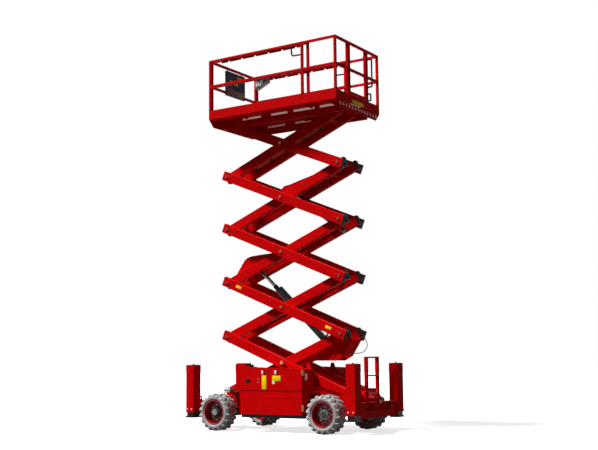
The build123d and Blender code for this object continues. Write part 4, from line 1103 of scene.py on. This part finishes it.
def makeSockets(setup):
    half = setup["socket"]
    inset = setup["socketInset"]
    near, far = setup["socketY"]
    top = deckHigh.z
    mesh = bmesh.new()
    bolts = bmesh.new()
    for x in (deckLow.x + inset, setup["socketMiddle"], deckHigh.x - inset):
        for side in (-1, 1):
            x0 = max(x - half, deckLow.x)
            x1 = min(x + half, deckHigh.x)
            sortedBox(mesh, side, x0, x1, near, far, top - 0.002, top + setup["socketHigh"],
                      0.002)
            addBolt(bolts, (x, side * far, top + setup["socketPinUp"]), (0, side, 0), 0.013,
                    0.4)
    finishPiece(mesh, "postSockets", "red_paint", "platform")
    finishPiece(bolts, "socketPins", "zinc", "platform")


def makeGateDetail(setup):
    # two blank plates on the toe board, one on the other
    x = deckHigh.x
    near = setup["plateNear"]
    far = setup["plateFar"]
    low = setup["plateLow"]
    high = setup["plateHigh"]
    mesh = bmesh.new()
    addBox(mesh, (x - 0.0005, near, low), (x + 0.0012, far, high), 0.0004)
    finishPiece(mesh, "toePlate", "orange", "platform")
    mesh = bmesh.new()
    addBox(mesh, (x - 0.0005, near + 0.012, low + 0.010), (x + 0.0018, far - 0.09, high - 0.022),
           0.0004)
    finishPiece(mesh, "toePlateField", "yellow", "platform")
    # a pale strip under them, and pale inserts in the slanted vents that are painted light: they stand in for the
    # light seen through the vent holes
    mesh = bmesh.new()
    addBox(mesh, (x - 0.0005, near - 0.075, low - 0.030), (x + 0.004, far - 0.13, low - 0.012),
           0.001)
    ventLow = setup["ventLow"]
    ventHigh = setup["ventHigh"]
    for index in range(setup["ventCount"]):
        y = (index - (setup["ventCount"] - 1) / 2) * setup["ventPitch"]
        made = bmesh.ops.create_cube(mesh, size=1.0)["verts"]
        bmesh.ops.scale(mesh, vec=(0.004, setup["ventWide"], ventHigh - ventLow), verts=made)
        turnVerts(mesh, made, setup["ventSlant"], "X")
        bmesh.ops.translate(mesh, verts=made, vec=(x + 0.0005, y, (ventLow + ventHigh) / 2))
    finishPiece(mesh, "stripAndPaintedVentLight", "pale", "platform")
    # the latch on the gate's free edge
    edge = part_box("gate")[1]
    foot = edge.z - setup["latchDown"]
    mesh = bmesh.new()
    addBox(mesh, (x - 0.052, edge.y - 0.038, foot),
           (x + 0.004, edge.y - 0.004, foot + setup["latchHigh"]), 0.004)
    addRod(mesh, (x - 0.021, edge.y - 0.010, foot + 0.05),
           (x - 0.021, edge.y + 0.010, foot + 0.05), 0.006, 14, soft=0.001)
    addLathe(mesh, setup["latchKnob"], (x + 0.004, edge.y - 0.021, foot + 0.036), (1, 0, 0), 24)
    finishPiece(mesh, "gateLatch", "black_plastic", "gate")


def makeDeckEdges(setup):
    # painted toe boards round the roll-out deck, and the sheet under the fixed tread
    mesh = bmesh.new()
    for side in (-1, 1):
        sortedBox(mesh, side, rollLow.x, rollHigh.x, rollHigh.y - 0.0004,
                  rollHigh.y + setup["edgeThick"], rollLow.z + 0.001, rollHigh.z, 0.0005)
    addBox(mesh, (rollLow.x - 0.0004, rollLow.y, rollLow.z + 0.001),
           (rollLow.x + 0.0004, rollHigh.y, rollHigh.z))
    finishPiece(mesh, "rollOutEdges", "red_paint", "extension")
    mesh = bmesh.new()
    half = setup["sheetHalf"]
    addBox(mesh, (deckLow.x + setup["sheetInset"], -half, floorZ - 0.0005),
           (deckHigh.x - 0.022, half, floorZ + 0.0006))
    finishPiece(mesh, "deckSheet", "deck_metal", "platform")


makeDeckEdges(deckDetail)
makeSockets(deckDetail)
makeGateDetail(deckDetail)


# operator's box: a wedge-shaped console under the far rail, with keys and a joystick

boxDetail = {
    "left": -1.195,
    "right": -0.925,
    "top": 6.842,
    "low": 6.600,
    "rise": 0.120,
    "lean": 0.045,
    "near": 0.529,
    "far": 0.681,
    "strap": 0.026,
    "strapInset": (0.05, 0.07),
    "railTop": 6.872,
    "pad": 0.012,
    "dialAt": (0.105, 0.105),
    "dialRadius": 0.019,
    "seat": 0.024,
    "stickIn": 0.07,
    # (radius, height)
    "stick": ((0, 0), (0.026, 0), (0.026, 0.004), (0.018, 0.008), (0.021, 0.012),
              (0.013, 0.016), (0.009, 0.022), (0.009, 0.028), (0, 0.029)),
    "stopIn": 0.05,
    "stop": ((0, 0), (0.012, 0), (0.012, 0.010), (0.020, 0.013), (0.020, 0.020),
             (0.012, 0.026), (0, 0.027)),
    # across and down
    "keyCount": (3, 2),
    "keyFirst": (0.035, 0.145),
    "keyPitch": (0.050, 0.034),
    "keyHalf": (0.013, 0.009),
}


def makeOperatorBox(setup):
    left = setup["left"]
    right = setup["right"]
    near = setup["near"]
    far = setup["far"]
    top = setup["top"]
    middle = (near + far) / 2
    mesh = bmesh.new()
    addBox(mesh, (left, near, setup["low"]), (right, far, top))
    for vert in mesh.verts:
        # the bottom rises to the right, and the top leans towards the operator
        if vert.co.z < (top + setup["low"]) / 2 and vert.co.x > (left + right) / 2:
            vert.co.z += setup["rise"]
        if vert.co.z > top - 0.01 and vert.co.y < middle:
            vert.co.z -= setup["lean"]
    softenEdges(mesh, list(mesh.verts), 0.012, 3)
    inLeft, inRight = setup["strapInset"]
    for x in (left + inLeft, right - inRight):
        addBox(mesh, (x, far - 0.004, top - 0.06),
               (x + setup["strap"], far + 0.008, setup["railTop"]), 0.002)
    console = finishPiece(mesh, "console", "grey_plastic", "extension")
    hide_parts("control_box")
    mesh = bmesh.new()
    pad = setup["pad"]
    addBox(mesh, (right - 0.075, near - 0.010, top - 0.135),
           (right - pad, near + 0.004, top - 0.052), 0.003)
    addBox(mesh, (left + pad, near - 0.006, top - 0.075),
           (right - 0.09, near + 0.004, top - 0.052), 0.003)
    along, down = setup["dialAt"]
    addRod(mesh, (left + along, near - 0.004, top - down),
           (left + along, near + 0.004, top - down), setup["dialRadius"], 24, soft=0.002)
    addLathe(mesh, setup["stick"], (left + setup["stickIn"], middle, top - setup["seat"]),
             (0, 0, 1), 24)
    finishPiece(mesh, "consoleTrim", "black_plastic", "extension")
    keys = bmesh.new()
    columns, rows = setup["keyCount"]
    firstX, firstZ = setup["keyFirst"]
    pitchX, pitchZ = setup["keyPitch"]
    halfX, halfZ = setup["keyHalf"]
    for column in range(columns):
        for row in range(rows):
            x = left + firstX + column * pitchX
            z = top - firstZ - row * pitchZ
            addBox(keys, (x - halfX, near - 0.005, z - halfZ),
                   (x + halfX, near + 0.002, z + halfZ), 0.0025)
    finishPiece(keys, "consoleKeys", "pale_nylon", "extension")
    mesh = bmesh.new()
    addLathe(mesh, setup["stop"], (right - setup["stopIn"], middle, top - setup["seat"]),
             (0, 0, 1), 28)
    finishPiece(mesh, "stopButton", "red_paint", "extension")


# rubber sleeves on the black hand grips

gripDetail = {
    "sleeve": 0.0150,
    "frontX": 0.538,
    "postX": 0.737,
    "line": 0.768,
    "under": 6.842,
    "low": 6.650,
    "gateY": 0.354,
    "deckRear": 1.465,
    # (low, high, how far out)
    "upper": (6.180, 6.700, 0.090),
    "lower": (5.925, 6.053, 0.060),
}


def makeGrips(setup):
    mesh = bmesh.new()
    radius = setup["sleeve"]
    for side in (-1, 1):
        y = side * setup["line"]
        addPipe(mesh, [(setup["frontX"], y, setup["under"]),
                       (setup["frontX"], y, setup["low"] + 0.06),
                       (setup["frontX"] + 0.012, y, setup["low"] + 0.012),
                       (setup["frontX"] + 0.06, y, setup["low"]),
                       (setup["postX"], y, setup["low"])], radius)
    for low, high, reach in (setup["upper"], setup["lower"]):
        x = setup["deckRear"]
        y = setup["gateY"]
        addPipe(mesh, [(x, y, low), (x + reach - 0.03, y, low), (x + reach, y, low + 0.006),
                       (x + reach, y, low + 0.03), (x + reach, y, high - 0.03),
                       (x + reach, y, high - 0.006), (x + reach - 0.03, y, high),
                       (x, y, high)], radius)
    finishPiece(mesh, "gripSleeves", "hose", "platform")


makeGrips(gripDetail)


# heights are above the case's foot; a plate is (y0, y1, low, high)
caseDetail = {
    "faceIn": 0.040,
    "topDown": 0.082,
    "rim": 0.014,
    "handle": (-0.02, 0.05, 0.16, 0.19),
    "flapInset": 0.02,
    "flap": (0.018, 0.145),
    "plates": (("caseYellow", "yellow", (-0.23, 0.03, 0.245, 0.315)),
               ("caseOrange", "orange", (0.0, 0.17, 0.325, 0.435))),
}


def makeEndCase(setup):
    low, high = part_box("end_panel")
    face = low.x + setup["faceIn"]
    top = high.z - setup["topDown"]
    bottom = low.z
    rim = setup["rim"]

    def panel(y0, y1, z0, z1, sunk, proud, soft):
        addBox(mesh, (face - sunk, y0, z0), (face + proud, y1, z1), soft)

    mesh = bmesh.new()
    for y0, y1, z0, z1 in ((low.y, high.y, top - rim, top),
                           (low.y, high.y, bottom, bottom + rim),
                           (low.y, low.y + rim, bottom, top),
                           (high.y - rim, high.y, bottom, top)):
        panel(y0, y1, z0, z1, 0.002, 0.006, 0.002)
    y0, y1, z0, z1 = setup["handle"]
    panel(y0, y1, bottom + z0, bottom + z1, 0.002, 0.012, 0.004)
    finishPiece(mesh, "caseRim", "black_plastic", "extension")
    mesh = bmesh.new()
    z0, z1 = setup["flap"]
    panel(low.y + setup["flapInset"], high.y - setup["flapInset"], bottom + z0, bottom + z1,
          0.002, 0.003, 0.003)
    finishPiece(mesh, "caseFlap", "darkRed", "extension")
    for name, colour, (y0, y1, z0, z1) in setup["plates"]:
        mesh = bmesh.new()
        panel(y0, y1, bottom + z0, bottom + z1, 0.001, 0.002, 0.0005)
        finishPiece(mesh, name, colour, "extension")


makeOperatorBox(boxDetail)
makeEndCase(caseDetail)
print("platform dressed")


# chassis: bolts on the ladder, beams and walls, and the lamp's foot

chassisDetail = {
    "bracketX": 1.766,
    "bracketZ": (0.455, 0.71),
    "bracketY": (-0.465, -0.083),
    "bracketHalf": 0.019,
    "beamX": (1.655, 1.738),
    "beamY": (0.46, 0.60),
    "beamZ": 0.520,
    "boltSize": 0.018,
    "wallCount": 5,
    # (first x, pitch, y, z)
    "wallRows": ((0.78, 0.17, 0.412, 0.53), (-1.62, 0.21, 0.300, 0.455)),
    "wallBoltSize": 0.016,
    "lampAt": (0.050, -0.432, 1.150),
    "lamp": ((0.026, 0.0), (0.044, 0.0), (0.044, 0.010), (0.040, 0.016), (0.040, 0.020),
             (0.026, 0.020), (0.026, 0.0)),
}


def makeChassisBits(setup):
    mesh = bmesh.new()
    half = setup["bracketHalf"]
    for z in setup["bracketZ"]:
        for y in setup["bracketY"]:
            for way in (-1, 1):
                addBolt(mesh, (setup["bracketX"], y + half + way * half, z), (0, way, 0),
                        setup["boltSize"], 0.5)
    for side in (-1, 1):
        for x in setup["beamX"]:
            for y in setup["beamY"]:
                addBolt(mesh, (x, side * y, setup["beamZ"]), (0, 0, 1), setup["boltSize"], 0.5)
    for index in range(setup["wallCount"]):
        for side in (-1, 1):
            for x, pitch, y, z in setup["wallRows"]:
                addBolt(mesh, (x + index * pitch, side * y, z), (0, side, 0),
                        setup["wallBoltSize"], 0.5)
    finishPiece(mesh, "chassisBolts", "zinc", "chassis")
    mesh = bmesh.new()
    addLathe(mesh, setup["lamp"], setup["lampAt"], (0, 0, 1), 32)
    finishPiece(mesh, "lampFoot", "black_plastic", "chassis")


# hoses from the motor and the axles to the walls, held at both ends
hoseDetail = {
    # (y, z, how far it hangs)
    "motorPorts": ((-0.575, 0.742, 0.0), (-0.625, 0.718, 0.03), (-0.600, 0.700, 0.06)),
    "motorX": (-0.966, -0.925, -0.86),
    # (x, y, height below the port)
    "motorRun": ((-0.79, -0.56, 0.08), (-0.72, -0.47, 0.10), (-0.66, -0.43, 0.09),
                 (-0.625, -0.415, 0.09)),
    "motorRadius": 0.010,
    "axleRuns": (((-1.10, 0.30, 0.43), (-1.08, 0.33, 0.50), (-1.00, 0.36, 0.54),
                  (-0.86, 0.37, 0.50), (-0.74, 0.40, 0.48), (-0.63, 0.405, 0.50)),
                 ((1.09, 0.415, 0.60), (1.10, 0.455, 0.585), (1.12, 0.475, 0.53),
                  (1.12, 0.470, 0.46), (1.13, 0.455, 0.40))),
    "axleRadius": 0.009,
    "fittingRadius": 0.014,
    "motorFitting": (-0.972, -0.940),
    "axleFitting": ((1.09, 0.411, 0.60), (1.09, 0.430, 0.595)),
}


def makeHoses(setup):
    mesh = bmesh.new()
    near, bend, fall = setup["motorX"]
    for y, z, drop in setup["motorPorts"]:
        points = [(near, y, z), (bend, y, z), (fall, y + 0.02, z - 0.02 - drop)]
        points += [(x, at, z - down - drop) for x, at, down in setup["motorRun"]]
        addPipe(mesh, points, setup["motorRadius"])
    for side in (-1, 1):
        for run in setup["axleRuns"]:
            addPipe(mesh, [(x, side * y, z) for x, y, z in run], setup["axleRadius"])
    finishPiece(mesh, "driveHoses", "hose", "chassis")
    mesh = bmesh.new()
    radius = setup["fittingRadius"]
    x0, x1 = setup["motorFitting"]
    for y, z, drop in setup["motorPorts"]:
        addRod(mesh, (x0, y, z), (x1, y, z), radius, 6, soft=0.0015)
    for side in (-1, 1):
        start, stop = [(x, side * y, z) for x, y, z in setup["axleFitting"]]
        addRod(mesh, start, stop, radius, 6, soft=0.0015)
    finishPiece(mesh, "hoseFittings", "zinc", "chassis")


# the steering cylinder in front of the axle, and a flange on the rear one
axleDetail = {
    "barrelAt": (-1.235, 0.36),
    # (start, stop, radius, rounding)
    "barrel": ((0.06, 0.30, 0.030, 0.003), (0.30, 0.315, 0.034, 0.002)),
    "bracket": (-1.245, -1.215, 0.10, 0.16, 0.335, 0.385),
    "flangeAt": (1.145, 0.46, 0.33),
    "flange": ((0.05, 0.0), (0.128, 0.0), (0.134, 0.006), (0.134, 0.020), (0.110, 0.046),
               (0.09, 0.052), (0.05, 0.052), (0.05, 0.0)),
}


def makeAxleDetail(sideName, side, setup):
    mesh = bmesh.new()
    x, z = setup["barrelAt"]
    for y0, y1, radius, soft in setup["barrel"]:
        addRod(mesh, (x, side * y0, z), (x, side * y1, z), radius, 28, soft=soft)
    sortedBox(mesh, side, *setup["bracket"], 0.004)
    finishPiece(mesh, "steerBarrel" + sideName.title(), "black_paint", "chassis")
    mesh = bmesh.new()
    x, y, z = setup["flangeAt"]
    addLathe(mesh, setup["flange"], (x, side * y, z), (0, side, 0), 36)
    finishPiece(mesh, "axleFlange" + sideName.title(), "black_paint", "chassis")


# a sloped plate inside the ladder's foot, with two bolts whose pink-white is a painted highlight: (x, y, z)
apronDetail = {
    "low": (1.600, -0.430, 0.560),
    "high": (1.768, -0.085, 0.568),
    "bendAt": 1.65,
    "rise": 0.150,
    "bolts": ((1.766, -0.221, 0.588), (1.776, 0.009, 0.516)),
    "boltSize": 0.034,
}


def makeApron(setup):
    mesh = bmesh.new()
    addBox(mesh, setup["low"], setup["high"])
    for vert in mesh.verts:
        if vert.co.x < setup["bendAt"]:
            vert.co.z += setup["rise"]
    softenEdges(mesh, list(mesh.verts), 0.002)
    finishPiece(mesh, "ladderApron", "red_paint", "chassis")
    mesh = bmesh.new()
    for spot in setup["bolts"]:
        addBolt(mesh, spot, (1, 0, 0), setup["boltSize"], 0.2)
    # their pink-white is a painted highlight
    finishPiece(mesh, "apronBolts", "bright", "chassis")


makeChassisBits(chassisDetail)
makeApron(apronDetail)
makeHoses(hoseDetail)
for sideName, side in sides:
    makeAxleDetail(sideName, side, axleDetail)
print("chassis dressed")


# cable from the arm's tip down to the lug, held at both ends by the rising frame

cableDetail = {
    "points": ((1.325, 0.250, 1.650), (1.420, 0.245, 1.550), (1.410, 0.225, 1.430),
               (1.330, 0.190, 1.345), (1.200, 0.142, 1.350)),
    "diameter": 0.013,
    "length": 0.50,
}


def makeCable(setup):
    cable = addLine("lugCable", setup["points"], setup["diameter"] / 2, 4, 10)
    cable.data.materials.append(finishes["hose"])
    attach(cable, "inner_arms_1")


makeCable(cableDetail)
print("cable hung")
